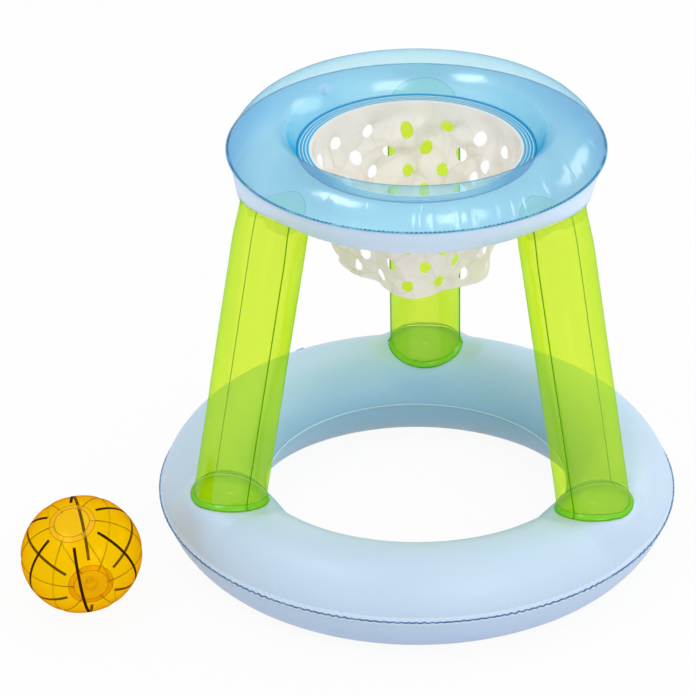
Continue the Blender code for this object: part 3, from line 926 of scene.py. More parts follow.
@dataclass
class FloorRing(InflatedRing):
    """The opaque ring that floats or stands."""

    def build(self) -> None:
        """Makes and dresses both sheets."""
        finish = self.dress()
        for side, name, node in ((Side.LOWER, "floor_ring_underside", "base_lower_sheet"),
                                 (Side.UPPER, "floor_ring_top", "base_upper_sheet")):
            Bench.place(self.sheet(side, name, [finish]), "hoop", "base_vinyl", None, [node])

    def dress(self) -> bpy.types.Material:
        """Satin blue film with painted shade at its rear, low outer side and inner wall; each
        welded lip has a pale painted highlight and a dark weld line, the outer one with painted
        shadow.

        Returns:
            The material.
        """
        tree = Finish(BASE_FILM.name)
        radius, _ = tree.about(HOOP_X, 0.0)
        along, height = tree.split(tree.coords(), 1, 2)
        middle, inner, outer = (self.section.middle, self.section.inner_seam,
                                self.section.outer_seam)
        outside = radius.ramp(middle - 0.02, middle + 0.03)
        seam_shade_patches = tree.cloud(120.0, 2.0).ramp(0.35, 0.6)
        return BASE_FILM.shader(tree, tree.coats(BASE_FILM.base(tree), (
            # Painted shade: the rear of the ring is painted darker and more teal.
            (along.ramp(-0.16, 0.26) * 0.7, BASE_REAR_SHADE),
            # Painted shade: the low outer side, which faces the floor, is painted darker.
            ((1 - height.ramp(0.020, 0.090)) * outside * 0.6, BASE_LOW_SHADE),
            # Painted shade: the inner wall of the hole is painted a darker teal.
            ((1 - radius.ramp(inner - 0.001, middle - 0.012)) * 0.5, BASE_WALL_SHADE),
            # Painted highlight: a pale line on the outer lip's upper face.
            (radius.band(outer + 0.0002, 0.0006, 0.0006) * 0.55, BASE_LIP_HIGHLIGHT),
            # The outer lip's dark edge is partly its own dark weld and partly painted shadow
            # under the lip, broken into patches by noise.
            (radius.ramp(outer + 0.0008, outer + 0.0013) * (0.7 + seam_shade_patches * 0.3), BASE_SEAM_AND_SHADOW),
            # Painted highlight: a pale line along the inner lip.
            ((1 - radius.ramp(inner - 0.0022, inner - 0.0017)) * 0.8, BASE_INNER_LIP_HIGHLIGHT),
            (radius.band(inner - 0.0006, 0.0002, 0.0005) * 0.35, BASE_INNER_SEAM))))


@dataclass
class RimRing(InflatedRing):
    """The ring that the legs carry: clear above and opaque below."""

    weld_rings: int = 4
    ring_height: float = 0.0005
    tucks: int = 34
    tuck_depth: float = 0.0022
    front_tucks: float = 0.60
    patch: float = 0.0395
    dashes: float = 263.0

    def form(self, points: Points, side: Side) -> Points:
        """Forms a sheet, with the weld rings raised on the clear flange.

        Args:
            points: The sheet's points as they were turned.
            side: Which sheet it is.

        Returns:
            The points where inflated film lies.
        """
        moved = super().form(points, side)
        if side is Side.UPPER:
            radius, _, _ = self.polar(points)
            inner = self.section.inner_seam
            share = (inner - radius) / self.section.flange[side]
            rings = np.sin(share * math.pi * self.weld_rings) ** 2
            moved[:, 2] += self.ring_height * rings * (radius < inner)
            moved[:, 2] += self.creases(points)
        return moved

    def creases(self, points: Points) -> Points:
        """Depth of the short tucks that run up from the outer seam, uneven round the ring.

        Args:
            points: The sheet's points as they were turned.

        Returns:
            Vertical moves, down where tucked.
        """
        _, angle, share = self.polar(points)
        depth = np.zeros(len(points))
        for i in range(self.tucks):
            place = i * GOLDEN_TURN if i % 4 else (
                -math.pi / 2 + math.sin(i * 1.7) * self.front_tucks)
            width = 0.012 + 0.010 * (math.sin(i * 3.1) + 1)
            reach = 0.10 + 0.08 * (math.sin(i * 5.3) + 1)
            away = around(angle, place)
            near = np.abs(away) < width * 3
            sharp = np.where(away < 0, bell(away, width), bell(away, width * 0.35))
            run = bell(share - 0.97 + reach / 2, reach) * np.clip((1 - share) / 0.04, 0, 1)
            depth -= np.where(near, sharp, 0.0) * run * self.tuck_depth
        return depth

    def build(self) -> None:
        """Makes and dresses both sheets."""
        faces = [self.dress_underside(), self.dress_inside()]
        lower = self.sheet(Side.LOWER, "rim_underside", faces)
        Bench.place(lower, "hoop", "rim_vinyl", None, ["rim_lower_sheet"])
        upper = self.sheet(Side.UPPER, "rim_clear_top", [self.dress_top()])
        Bench.place(upper, "hoop", "rim_clear_vinyl", None, ["rim_upper_sheet"])

    def patches(self, tree: Finish, colour: Any) -> Value:
        """Adds the green patches where the legs' welded heads show through the film.

        Args:
            tree: The material.
            colour: The colour below the patches.

        Returns:
            The colour with the patches.
        """
        angle, across = tree.uv()
        for leg in LEGS:
            turn = float(around(np.array(leg.turn), 0.0))
            along = (angle - turn) * self.section.middle
            distance = (along * along + (across - 0.004) * (across - 0.004)) ** 0.5
            distance = distance + (tree.cloud(45.0, 2.0) - 0.5) * 0.006
            colour = tree.coats(colour, (
                ((1 - distance.ramp(self.patch, self.patch + 0.0025)) * 0.42, HEAD_PATCH),
                (distance.band(self.patch + 0.0020, 0.0003, 0.0009) * 0.6, HEAD_WELD)))
        return colour

    def dress_underside(self) -> bpy.types.Material:
        """Pale lavender film.

        Returns:
            The material.
        """
        tree = Finish(RIM_FILM.name)
        colour = self.patches(tree, RIM_FILM.base(tree))
        _, across = tree.uv()
        seam = float(self.section.arc(np.array(self.section.outer_seam), Side.LOWER))
        colour = tree.blend(across.ramp(seam, seam + 0.001) * 0.7, colour, RIM_UNDER_SEAM)
        return RIM_FILM.shader(tree, colour)

    def dress_inside(self) -> bpy.types.Material:
        """The same film's inner face, bluer, with painted shade towards the outer seam that is
        strongest at the left and right sides.

        Returns:
            The material.
        """
        tree = Finish("rim_vinyl_inside")
        angle, across = tree.uv()
        side = angle.math("COSINE")
        # Painted shade: deeper blue towards the outer seam, strongest at the hoop's left and
        # right sides.
        near = across.ramp(0.014, 0.060) * (0.12 + side * side * 0.88)
        drift = tree.cloud(11.0, 3.0)
        colour = tree.blend(near * (0.55 + drift * 0.6), RIM_INSIDE, RIM_INSIDE_SHADE)
        return RIM_FILM.shader(tree, self.patches(tree, colour))

    def dress_top(self) -> bpy.types.Material:
        """Clear blue film with a dashed teal seam, blue weld rings with painted highlights, a
        blue flange partly painted by side, and painted shade on the crest's inner slope.

        Returns:
            The material.
        """
        tree = Finish(RIM_CLEAR.name)
        radius, angle = tree.about(HOOP_X, 0.0)
        outer, inner = self.section.outer_seam, self.section.inner_seam
        dashes = ((angle * self.dashes).math("SINE").ramp(-0.9, 0.1)
                  * tree.cloud(40.0).ramp(0.3, 0.5))
        seam = radius.band(outer + 0.0009, 0.0009, 0.0004) * (0.45 + dashes * 0.55)
        flange = 1 - radius.ramp(inner - 0.0004, inner + 0.0004)
        turn = (inner - radius) * (math.tau * self.weld_rings / self.section.flange[Side.UPPER])
        rings = turn.math("SINE").ramp(0.72, 0.90) * flange
        shine = (turn + 2.2).math("SINE").ramp(0.70, 0.92) * flange
        edge = radius.band(inner, 0.0003, 0.0004)
        side = angle.math("COSINE").math("ABSOLUTE")
        front = angle.math("SINE").ramp(0.25, -0.30)
        # Painted shade: a deeper blue on the crest's inner slope, strongest at the left and right
        # sides and at the front.
        wall = radius.band(inner + 0.005, 0.005, 0.007) * side.ramp(0.35, 0.80) * (
            0.4 + front * 0.6)
        # The flange blue is partly its own colour and partly painted: strongest at the left and
        # right sides, weakest at the front and back, where the paler film is a painted
        # reflection. The pale rings are painted highlights.
        marks = ((flange * (0.35 + side * 0.65), RIM_FLANGE, 0.42), (wall, RIM_WALL_SHADE, 0.66),
                 (shine, RING_SHINE, 0.62), (rings, RING_BLUE, 0.85), (edge, RIM_EDGE, 0.75),
                 (seam, RIM_SEAM, 0.9))
        return RIM_CLEAR.shader(tree, marks, tree.ripple(30.0, 0.0012, 0.5))


@dataclass
class LegTube:
    """A leg: two panels welded along its sides, with a disc at each end."""

    line: LegLine
    base: InflatedRing
    rim: InflatedRing
    columns: int = 56
    rows: int = 120
    foot_flange: float = 0.0040
    foot_skirt: float = 0.0060
    head_flange: float = 0.0016
    seam_lip: float = 0.0011
    head_taper: float = 0.055
    foot_disc: float = 0.0490
    head_disc: float = 0.0350
    air_hole: float = 0.0050
    head_hole: float = 0.0012
    disc_rings: int = 18
    disc_steps: int = 72
    foot_rows: tuple[tuple[float, float], ...] = ((1.0, 0.0), (0.85, 0.0016), (0.45, 0.0036))
    head_rows: tuple[tuple[float, float], ...] = ((1.0, 0.0), (0.55, 0.0), (0.375, 0.0))
    head_clear: float = 0.0015
    row_crowding: float = 0.055
    weld_pinch: float = 0.0006
    foot_pleat: float = 0.0008
    head_pleat: float = 0.0007
    slow_wave: float = 0.0005
    least_slope: float = 0.18
    film_clear: float = 2 * (GAP + FILM) + 0.0003
    disc_clear: float = GAP + FILM + 0.0001
    miss: float = 0.016
    groove_depth: float = 0.0007
    ends: tuple[Points, ...] = ()

    def seat(self, angle: float, radius: float, side: Side, clear: float) -> float:
        """Height up the leg at which a line beside its axis comes near a ring.

        Args:
            angle: The line's angle about the axis.
            radius: Its distance from the axis.
            side: Upper for the floor ring below, lower for the rim above.
            clear: How far it stays away, square to the ring's film.

        Returns:
            The height up the leg.
        """
        half = float(np.linalg.norm(self.line.head - self.line.foot)) / 2
        start = self.line.world(np.array([angle]), np.array([radius]), np.array([half]))[0]
        ring, way = (self.base, -1.0) if side is Side.UPPER else (self.rim, 1.0)
        hit = ring.surfaces[side].ray_cast(Vector(start), Vector(self.line.axis * way))
        if hit[0] is None:
            return half + way * (half - self.miss)
        slope = max(self.least_slope, abs(hit[1].dot(Vector(self.line.axis))))
        return half + way * (hit[3] - clear / slope)

    def seat_line(self, angles: Points, radius: float, side: Side) -> Points:
        """The seat's height up the leg at several angles."""
        return np.array([self.seat(float(a), radius, side, self.film_clear) for a in angles])

    def panel(self, half: Half) -> bpy.types.Object:
        """Builds the outer or inner panel with its flanges and seam lips.

        Args:
            half: Which panel.

        Returns:
            The panel.
        """
        line, radius, head = self.line, self.line.radius, self.line.head_radius
        thing = Bench.rolled(f"leg_{line.name}_{half.value}_film", self.columns, self.rows)
        middle = 0.0 if half is Half.OUTER else math.pi
        edge = math.pi / 2 - GAP / 2 / radius

        def roll(points: Points) -> Points:
            """Rolls the flat grid round the leg.

            Args:
                points: Points of the flat grid.

            Returns:
                The same points round the leg.
            """
            column = np.rint(points[:, 0] * self.columns).astype(int)
            row = np.rint(points[:, 1] * self.rows).astype(int)
            places = np.arange(self.columns + 1)
            shares = np.clip(places - 1, 0, self.columns - 2) / (self.columns - 2)
            turns = middle + edge * (2 * shares - 1)
            angle, inner = turns[column], shares[column]
            low = self.seat_line(turns, radius + 0.001, Side.UPPER)
            low_edge = self.seat_line(turns, radius + self.foot_flange, Side.UPPER)
            high = self.seat_line(turns, head + 0.001, Side.LOWER)
            high_edge = self.seat_line(turns, head + self.head_flange, Side.LOWER)
            share = np.clip((row - 3) / (self.rows - 6), 0, 1)
            spread = share - self.row_crowding * np.sin(share * math.tau)
            bottom, top = low[column] + self.foot_skirt, high[column] - self.head_clear
            up = bottom + (top - bottom) * spread
            taper = ease((up - (top - self.head_taper)) / self.head_taper)
            pleat = waves(angle, (13, 19, 29), 0.3 + line.turn)
            slow = waves(angle, (3, 5), line.turn) * np.sin(up * 31 + line.turn * 3)
            reach = radius + (head - radius) * taper + self.slow_wave * slow
            reach = reach - self.weld_pinch * bell(up - bottom, 0.0022)
            reach = reach + self.foot_pleat * pleat * bell(up - bottom - 0.004, 0.014)
            reach = reach + self.head_pleat * pleat * bell(top - up, 0.024)
            for ring, flange, seats, rows, at in (
                    (radius, self.foot_flange, (low, low_edge), self.foot_rows, row),
                    (head, self.head_flange, (high, high_edge), self.head_rows, self.rows - row)):
                for index, (part, rise) in enumerate(rows):
                    seat = seats[0] + (seats[1] - seats[0]) * part
                    reach = np.where(at == index, ring + flange * part, reach)
                    up = np.where(at == index, seat[column] + rise, up)
            side_lip = (column == 0) | (column == self.columns)
            groove = bell((np.minimum(inner, 1 - inner)) * edge * 2 * radius, 0.0022)
            reach = reach + np.where(side_lip, self.seam_lip, -self.groove_depth * groove)
            self.ends = (turns, low_edge, high_edge)
            return line.world(angle, reach, up)

        Bench.shape(thing, roll)
        Bench.face_out(thing, lambda points: line.world(
            np.zeros(len(points)), np.zeros(len(points)), line.local(points)[2]))
        Bench.wall(thing)

        def flat(points: Points) -> Points:
            """Metres from the panel's middle line and up the leg."""
            angle, _, up = line.local(points)
            return np.column_stack((around(angle, middle) * radius, up))

        def from_ends(points: Points) -> Points:
            """Height above the foot's edge and depth below the head's edge.

            Args:
                points: Places on the panel.

            Returns:
                A pair of lengths for each.
            """
            angle, _, up = line.local(points)
            turns, low, high = self.ends
            turn = middle + around(angle, middle)
            return np.column_stack((up - np.interp(turn, turns, low),
                                    np.interp(turn, turns, high) - up))

        Bench.lay_uv(thing, flat)
        Bench.lay_uv(thing, from_ends, "ends")
        return thing

    def disc(self, end: End) -> bpy.types.Object:
        """Builds the disc that closes a leg and is welded to a ring.

        Args:
            end: Which end it closes.

        Returns:
            The disc.
        """
        side, hole, radius = Side.UPPER, self.air_hole, self.foot_disc
        if end is End.HEAD:
            side, hole, radius = Side.LOWER, self.head_hole, self.head_disc
        count, line = self.disc_rings, self.line
        reaches = [hole + (radius - hole) * i / count for i in range(count + 1)]
        start = [line.world(np.array([0.0]), np.array([r]), np.array([0.0]))[0] for r in reaches]
        thing = Bench.turned(f"leg_{line.name}_{end.value}_weld_disc", start, self.disc_steps,
                             line.foot, line.axis)

        def lay(points: Points) -> Points:
            """Lays the disc on the ring's film.

            Args:
                points: Points of the flat disc.

            Returns:
                The same points beside the ring.
            """
            angle, reach, _ = line.local(points)
            up = [self.seat(float(a), float(r), side, self.disc_clear)
                  for a, r in zip(angle, reach)]
            return line.world(angle, reach, np.array(up))

        Bench.shape(thing, lay)
        Bench.face_out(thing, lambda points: points - side.value * line.axis)
        Bench.wall(thing)
        return thing

    def build(self, film: bpy.types.Material, weld: bpy.types.Material) -> None:
        """Makes and dresses the leg's four pieces.

        Args:
            film: The panels' material.
            weld: The discs' material.
        """
        for half in Half:
            node = f"leg_{self.line.name}_{half.value}_panel"
            Bench.place(self.panel(half), "hoop", "leg_clear_vinyl", film, [node])
        for end in End:
            node = f"leg_{self.line.name}_{end.value}_disc"
            Bench.place(self.disc(end), "hoop", "leg_clear_vinyl", weld, [node])


def dress_leg_film(half_width: float) -> bpy.types.Material:
    """Clear lime film with dark weld lines down its edges and a solid band at its foot.

    Args:
        half_width: Length of film from a panel's middle line to its seams.

    Returns:
        The material.
    """
    tree = Finish(LEG_CLEAR.name)
    across, up = tree.uv()
    foot, head = tree.uv("ends")
    stretched = tree.node("CombineXYZ", values={0: across * 55.0, 1: up * 5.0, 2: 0.0})
    streaks = tree.node("TexNoise", values={"Vector": stretched, "Scale": 1.0, "Detail": 2.0})
    wander = tree.cloud(32.0, 3.0) * 0.036
    ripple = tree.bump(tree.cloud(40.0, 2.0) * 0.4 + streaks * 0.6, 0.0012, 0.5)
    marks = ((1 - (head + wander).ramp(0.026, 0.030), LEG_PATCH, 0.22),
             (1 - foot.ramp(0.0052, 0.0062), LEG_SKIRT, 0.42),
             (foot.band(0.0064, 0.0003, 0.0005), LEG_BEAD, 0.50),
             (1 - foot.ramp(0.0004, 0.0010), LEG_EDGE, 0.7),
             (across.math("ABSOLUTE").ramp(half_width - 0.0008, half_width - 0.0004),
              LEG_SEAM, 0.32))
    return LEG_CLEAR.shader(tree, marks, ripple, streaks)


def dress_weld_disc() -> bpy.types.Material:
    """The same film where it lies welded on a ring."""
    tree = Finish("leg_weld_film")
    return LEG_CLEAR.shader(tree, (), tree.ripple(60.0, 0.0008, 0.4))


@dataclass
class PunchedNet:
    """The sleeve of thin film that hangs in the rim, with rows of round holes."""

    lip: float = 0.0017
    collar_stop: float = 0.0030
    plain: float = 0.0190
    pitch: float = 0.0268
    rows: int = 5
    holes: int = 15
    hole: float = 0.0090
    hem: float = 0.0060
    taper: float = 0.0428
    fold: float = 0.0085
    folds_round: int = 5
    fold_twist: float = math.radians(125)
    ripple: float = 0.0035
    ripples_round: int = 11
    ripple_twist: float = math.radians(285)
    crumple: float = 0.0072
    fold_sets: int = 9
    fold_line: float = 0.0026
    slack: float = 0.0070
    slack_turn: float = math.radians(50)
    plain_top: float = 0.006
    soft_over: float = 0.028
    across: int = 10
    down: int = 5
    glow: float = 0.45
    folds: list[float] = field(default_factory=list)

    @property
    def mouth(self) -> float:
        """Radius at which the net turns down."""
        return RIM.inner_seam - RIM.flange[Side.UPPER] - self.lip

    @property
    def drop(self) -> float:
        """Length of film from the mouth to the hem's edge."""
        return self.plain + self.rows * self.pitch + self.hem

    def point(self, turn: float, depth: float) -> Vector:
        """Where a place on the film hangs.

        Args:
            turn: Angle about the hoop's axis.
            depth: Distance down the film from the mouth, negative on the collar.

        Returns:
            The world point.
        """
        level = RIM.seam_height - RIM.inner_drop
        radius = self.mouth
        if depth < 0:
            radius -= depth
            self.folds.append(0.0)
            return Vector((HOOP_X + radius * math.cos(turn), radius * math.sin(turn), level))
        share = depth / self.drop
        loose = share * share * (3 - 2 * share)
        middle = 4 * share * (1 - share)
        radius -= self.taper * share
        folds, ripples = self.folds_round * turn, self.ripples_round * turn
        radius += loose * self.fold * math.cos(folds + self.fold_twist * share)
        radius += middle * self.ripple * math.sin(ripples - self.ripple_twist * share)
        fall = depth * math.sqrt(1 - (self.taper / self.drop) ** 2)
        fall += self.slack * share * share * math.cos(turn + self.slack_turn)
        place = Vector((radius * math.cos(turn), radius * math.sin(turn), -fall))
        soft = min(1.0, max(0.0, (depth - self.plain_top) / self.soft_over))
        push, crease = self.fold_at(place)
        self.folds.append(crease * soft)
        push *= self.crumple * soft
        place.xy *= 1 + push / radius
        place.z += 0.3 * push
        return place + Vector((HOOP_X, 0.0, level))

    def fold_at(self, place: Vector) -> tuple[float, float]:
        """How far straight folds push the film, and how near a fold's line is.

        Args:
            place: A place on the smooth net, about the mouth's middle.

        Returns:
            The push, about -1 to 1, and the nearness from 0 to 1.
        """
        push, crease = 0.0, 0.0
        for i in range(self.fold_sets):
            turn, tilt = i * GOLDEN_TURN, 0.9 * math.sin(i * 1.9)
            way = Vector((math.cos(turn) * math.cos(tilt), math.sin(turn) * math.cos(tilt),
                          math.sin(tilt)))
            count = 15.0 + 5.0 * (i % 4)
            run = place.dot(way) * count + i * 0.37
            spot = place * 17.0 + Vector((i * 5.3, 1.7, -i * 3.1))
            strength = min(1.0, max(0.0, noise.noise(spot) * 2.6 + 0.35))
            push += strength * (2 * abs(run - round(run)) - 0.5) * 15.0 / count
            corner = abs(run - round(run * 2) / 2) / count
            crease = max(crease, strength * (1 - min(1.0, corner / self.fold_line)))
        return push, crease

    def sleeve(self, turn: float, depth: float) -> tuple[float, float, float]:
        """A place on the plain sleeve that the film is laid out on."""
        return math.cos(turn), math.sin(turn), -depth

    def hang(self, points: Points) -> Points:
        """Points of the plain sleeve where the net hangs."""
        turns = np.arctan2(points[:, 1], points[:, 0])
        self.folds.clear()
        return np.array([self.point(float(t), float(d)) for t, d in zip(turns, -points[:, 2])])

    def cell(self, work: bmesh.types.BMesh, turn: float, top: float) -> None:
        """Adds one punched cell: rings of faces from its hole out to its border.

        Args:
            work: The mesh under construction.
            turn: Angle of the hole's middle.
            top: Depth of the cell's upper border.
        """
        half = math.tau / self.holes / 2
        border = [(-half + 2 * half * i / self.across, 0.0) for i in range(self.across)]
        border += [(half, self.pitch * i / self.down) for i in range(self.down)]
        border += [(half - 2 * half * i / self.across, self.pitch) for i in range(self.across)]
        border += [(-half, self.pitch - self.pitch * i / self.down) for i in range(self.down)]
        loops = []
        for share in (0.0, 0.3, 0.62, 1.0):
            loop = []
            for x, y in border:
                away = Vector((x * self.mouth, y - self.pitch / 2))
                inner = away.normalized() * self.hole
                spot = inner.lerp(away, share)
                place = (turn + spot.x / self.mouth, top + self.pitch / 2 + spot.y)
                loop.append(work.verts.new(self.sleeve(*place)))
            loops.append(loop)
        count = len(border)
        for inner_loop, outer_loop in zip(loops, loops[1:]):
            for i in range(count):
                j = (i + 1) % count
                work.faces.new((inner_loop[i], inner_loop[j], outer_loop[j], outer_loop[i]))

    def strip(self, work: bmesh.types.BMesh, low: float, high: float, steps: int) -> None:
        """Adds a plain band right round the net between two depths.

        Args:
            work: The mesh under construction.
            low: Depth of the upper border.
            high: Depth of the lower border.
            steps: Faces from one border to the other.
        """
        columns = self.holes * self.across
        depths = [low + (high - low) * i / steps for i in range(steps + 1)]
        rows = [[work.verts.new(self.sleeve(math.tau * c / columns, depth))
                 for c in range(columns)] for depth in depths]
        for upper, lower in zip(rows, rows[1:]):
            for c in range(columns):
                d = (c + 1) % columns
                work.faces.new((upper[c], lower[c], lower[d], upper[d]))

    def build(self) -> None:
        work = bmesh.new()
        step = math.tau / self.holes
        self.strip(work, self.collar_stop - RIM.flange[Side.UPPER] - self.lip, 0.0, 4)
        self.strip(work, 0.0, self.plain, 5)
        for row in range(self.rows):
            for i in range(self.holes):
                self.cell(work, step * (i + 0.5 * (row % 2)), self.plain + self.pitch * row)
        self.strip(work, self.drop - self.hem, self.drop, 2)
        bmesh.ops.remove_doubles(work, verts=work.verts, dist=MERGE * 5)
        mesh = bpy.data.meshes.new("punched_net_film")
        work.to_mesh(mesh)
        work.free()
        net = bpy.data.objects.new("punched_net_film", mesh)
        bpy.context.scene.collection.objects.link(net)
        Bench.hold(net)
        soft = net.modifiers.new("soft", "SUBSURF")
        soft.levels = soft.render_levels = 1
        bpy.ops.object.modifier_apply(modifier=soft.name)
        Bench.shape(net, self.hang)
        Bench.lay_uv(net, lambda points: np.column_stack((self.folds, points[:, 2])), "folds")

        def axis(points: Points) -> Points:
            """The hoop's axis beside each point, a little lower than the point."""
            low = points[:, 2] - 0.02
            return np.column_stack((np.full(len(points), HOOP_X), np.zeros(len(points)), low))

        Bench.face_out(net, axis)
        Bench.wall(net, 0.0)
        Bench.place(net, "hoop", "net_vinyl", self.dress(), ["net_sleeve"])
        length = self.drop + RIM.flange[Side.UPPER] + self.lip - self.collar_stop
        width = math.tau * self.mouth
        punched = self.rows * self.holes * math.pi * self.hole ** 2
        width * length - punched

    def dress(self) -> bpy.types.Material:
        """Cream film that lets light glow through, with painted shade along its folds.

        Returns:
            The material.
        """
        tree = Finish("net_vinyl_film")
        fold, _ = tree.uv("folds")
        tone = tree.cloud(38.0, 4.0, 0.6).ramp(0.3, 0.72)
        # Painted shade: darker beige along the creases of the folds.
        colour = tree.coats(NET_CREAM, ((tone * 0.45, NET_SHADE),
                                        (fold.ramp(0.1, 1.0) * 0.40, NET_FOLD_SHADE)))
        fine = tree.cloud(210.0, 3.0, 0.6)
        facets = tree.node("TexVoronoi", {"distance": "CHEBYCHEV"},
                           {"Vector": tree.coords(), "Scale": 58.0})
        normal = tree.bump(facets * 0.8 + fine * 0.2, 0.003, 0.4)
        body = tree.principled({"Base Color": colour, "Roughness": 0.20 + fine * 0.1,
                                "Normal": normal, "IOR": 1.6})
        glow = tree.node("BsdfTranslucent", values={"Color": NET_GLOW})
        return tree.done(tree.node("MixShader", values={0: self.glow, 1: body, 2: glow}))


@dataclass
class BeachBall:
    """The small ball: six gores and two polar discs of amber film."""

    radius: float = 0.0755
    polar: float = 0.0681
    lean: float = math.radians(22.1)
    lean_turn: float = math.radians(251.9)
    spin: float = math.radians(23.3)
    gore_end: float = math.radians(16.5)
    cap_edge: float = math.radians(22.5)
    gores: int = 6
    seam_draw: float = 0.0010
    gore_swell: float = 0.0005
    cap_draw: float = 0.0004
    cap_pucker: float = 0.00015
    stripe_half: float = 0.0017
    stripe_reach: float = 62.0
    weld_ring: float = 19.5
    weld_lines: tuple[tuple[float, float], ...] = ((16.8, 0.4), (22.2, 0.3))
    cap_steps: int = 90
    valve_hole: float = 0.0055
    air_hole: float = 0.0004
    dent_radius: float = 0.0140
    dent_fade: float = 0.0030
    dent_depth: float = 0.0030
    dent_level: float = math.radians(9.0)
    centre: Vector = field(default_factory=lambda: Vector((-0.335799, -0.180186, 0.069689)))

    @property
    def turn(self) -> Matrix:
        """How the ball lies."""
        lean = Matrix.Rotation(self.lean_turn, 4, "Z") @ Matrix.Rotation(self.lean, 4, "Y")
        return lean @ Matrix.Rotation(math.pi / 2 + self.spin, 4, "Z")

    @property
    def frame(self) -> Matrix:
        """The ball's place and turn."""
        return Matrix.Translation(self.centre) @ self.turn

    def world(self, outline: Iterable[tuple[float, float]]) -> list[Vector]:
        """World points of an outline given by radius and height in the ball's frame."""
        return [self.frame @ Vector((r, 0.0, z)) for r, z in outline]

    def local(self, points: Points) -> Points:
        """Points in the ball's own frame."""
        return (points - np.array(self.centre)) @ np.array(self.turn.to_3x3())

    def back(self, points: Points) -> Points:
        """World points from the ball's own frame."""
        return points @ np.array(self.turn.to_3x3()).T + np.array(self.centre)

    def angles(self, points: Points) -> tuple[Points, Points]:
        """Angle about the ball's axis and polar angle of points in the ball's frame."""
        x, y, z = points.T
        return np.arctan2(y, x), np.arctan2(np.hypot(x, y) / self.radius, z / self.polar)

    def core(self, points: Points) -> Points:
        """The ball's centre, once for each point."""
        return np.tile(np.array(self.centre), (len(points), 1))

    @property
    def axis(self) -> Vector:
        """Unit vector towards the upper pole."""
        return self.turn.to_3x3() @ Vector((0, 0, 1))

    def outline(self, first: float, last: float, count: int,
                lift: float) -> list[tuple[float, float]]:
        """The ball's meridian between two polar angles, moved out by a lift."""
        angles = [first + (last - first) * i / (count - 1) for i in range(count)]
        return [((self.radius + lift) * math.sin(a), (self.polar + lift) * math.cos(a))
                for a in angles]

    def swell(self, points: Points) -> Points:
        """Draws the film in along the seams and round the welded discs.

        Args:
            points: Points of the plain ball.

        Returns:
            The points where inflated film lies.
        """
        local = self.local(points)
        angle, polar = self.angles(local)
        pitch = math.tau / self.gores
        seam = (angle + pitch / 2) % pitch - pitch / 2
        across = seam * self.radius * np.sin(polar)
        draw = self.seam_draw * bell(across, 0.0045) - self.gore_swell * bell(across, 0.0180)
        past_cap = np.minimum(polar, math.pi - polar) - self.cap_edge
        pucker = self.cap_pucker * waves(angle, (37, 53), 0.2)
        draw = draw + self.cap_draw * bell(past_cap, 0.035) + pucker * bell(past_cap, 0.15)
        scale = 1 - draw / self.radius
        return self.back(local * scale[:, None])

    def gore(self, index: int) -> bpy.types.Object:
        """Builds one gore with its film map.

        Args:
            index: Which gore, from 0.

        Returns:
            The gore.
        """
        gap = math.asin(GAP / 2 / (self.radius * math.sin(self.cap_edge)))
        start = math.tau * index / self.gores + gap
        turned = self.frame @ Matrix.Rotation(start, 4, "Z")
        outline = [turned @ Vector((r, 0.0, z)) for r, z in
                   self.outline(self.gore_end, math.pi - self.gore_end, 49, 0.0)]
        thing = Bench.turned(f"ball_gore_film_{index + 1}", outline, 28, self.centre, self.axis,
                             -(math.tau / self.gores - 2 * gap))
        Bench.shape(thing, self.swell)
        Bench.face_out(thing, self.core)
        Bench.wall(thing)

        def flat(points: Points) -> Points:
            """Degrees from the gore's middle, and polar angle in degrees."""
            angle, polar = self.angles(self.local(points))
            away = around(angle, math.tau * (index + 0.5) / self.gores)
            return np.degrees(np.column_stack((away, polar)))

        Bench.lay_uv(thing, flat)
        return thing

    def cap(self, name: str, side: Side) -> bpy.types.Object:
        """Builds a polar disc.

        Args:
            name: The piece's name.
            side: Which pole it closes.

        Returns:
            The disc.
        """
        hole = self.air_hole if side is Side.UPPER else self.valve_hole
        first, lift = math.asin(hole / self.radius), GAP + FILM
        outline = self.outline(first, self.cap_edge, 22, lift)
        if side is Side.LOWER:
            dents = [ease(np.array((self.dent_radius - r) / self.dent_fade)) for r, _ in outline]
            level = self.polar * math.cos(self.dent_level) + lift - self.dent_depth
            outline = [(r, -(z - (z - level) * dent)) for (r, z), dent in zip(outline, dents)]
        thing = Bench.turned(name, self.world([(float(r), float(z)) for r, z in outline]),
                             self.cap_steps, self.centre, self.axis)
        Bench.face_out(thing, self.core)
        Bench.wall(thing)

        def flat_map(points: Points) -> Points:
            """Nothing across, and the angle from the nearer pole in degrees."""
            _, polar = self.angles(self.local(points))
            nearer = np.minimum(polar, math.pi - polar)
            return np.degrees(np.column_stack((np.zeros(len(points)), nearer)))

        Bench.lay_uv(thing, flat_map)
        return thing

    def build(self) -> None:
        """Makes and dresses the ball."""
        film = self.dress_gores()
        for i in range(self.gores):
            Bench.place(self.gore(i), "ball", "ball_clear_vinyl", film, [f"ball_gore_{i + 1}"])
        for side, name, node, milkiness in (
                (Side.UPPER, "ball_upper_disc_film", "ball_upper_disc", 0.03),
                (Side.LOWER, "ball_valve_disc_film", "ball_valve_disc", 0.50)):
            disc = self.dress_disc(name, milkiness)
            Bench.place(self.cap(name, side), "ball", "ball_clear_vinyl", disc, [node])

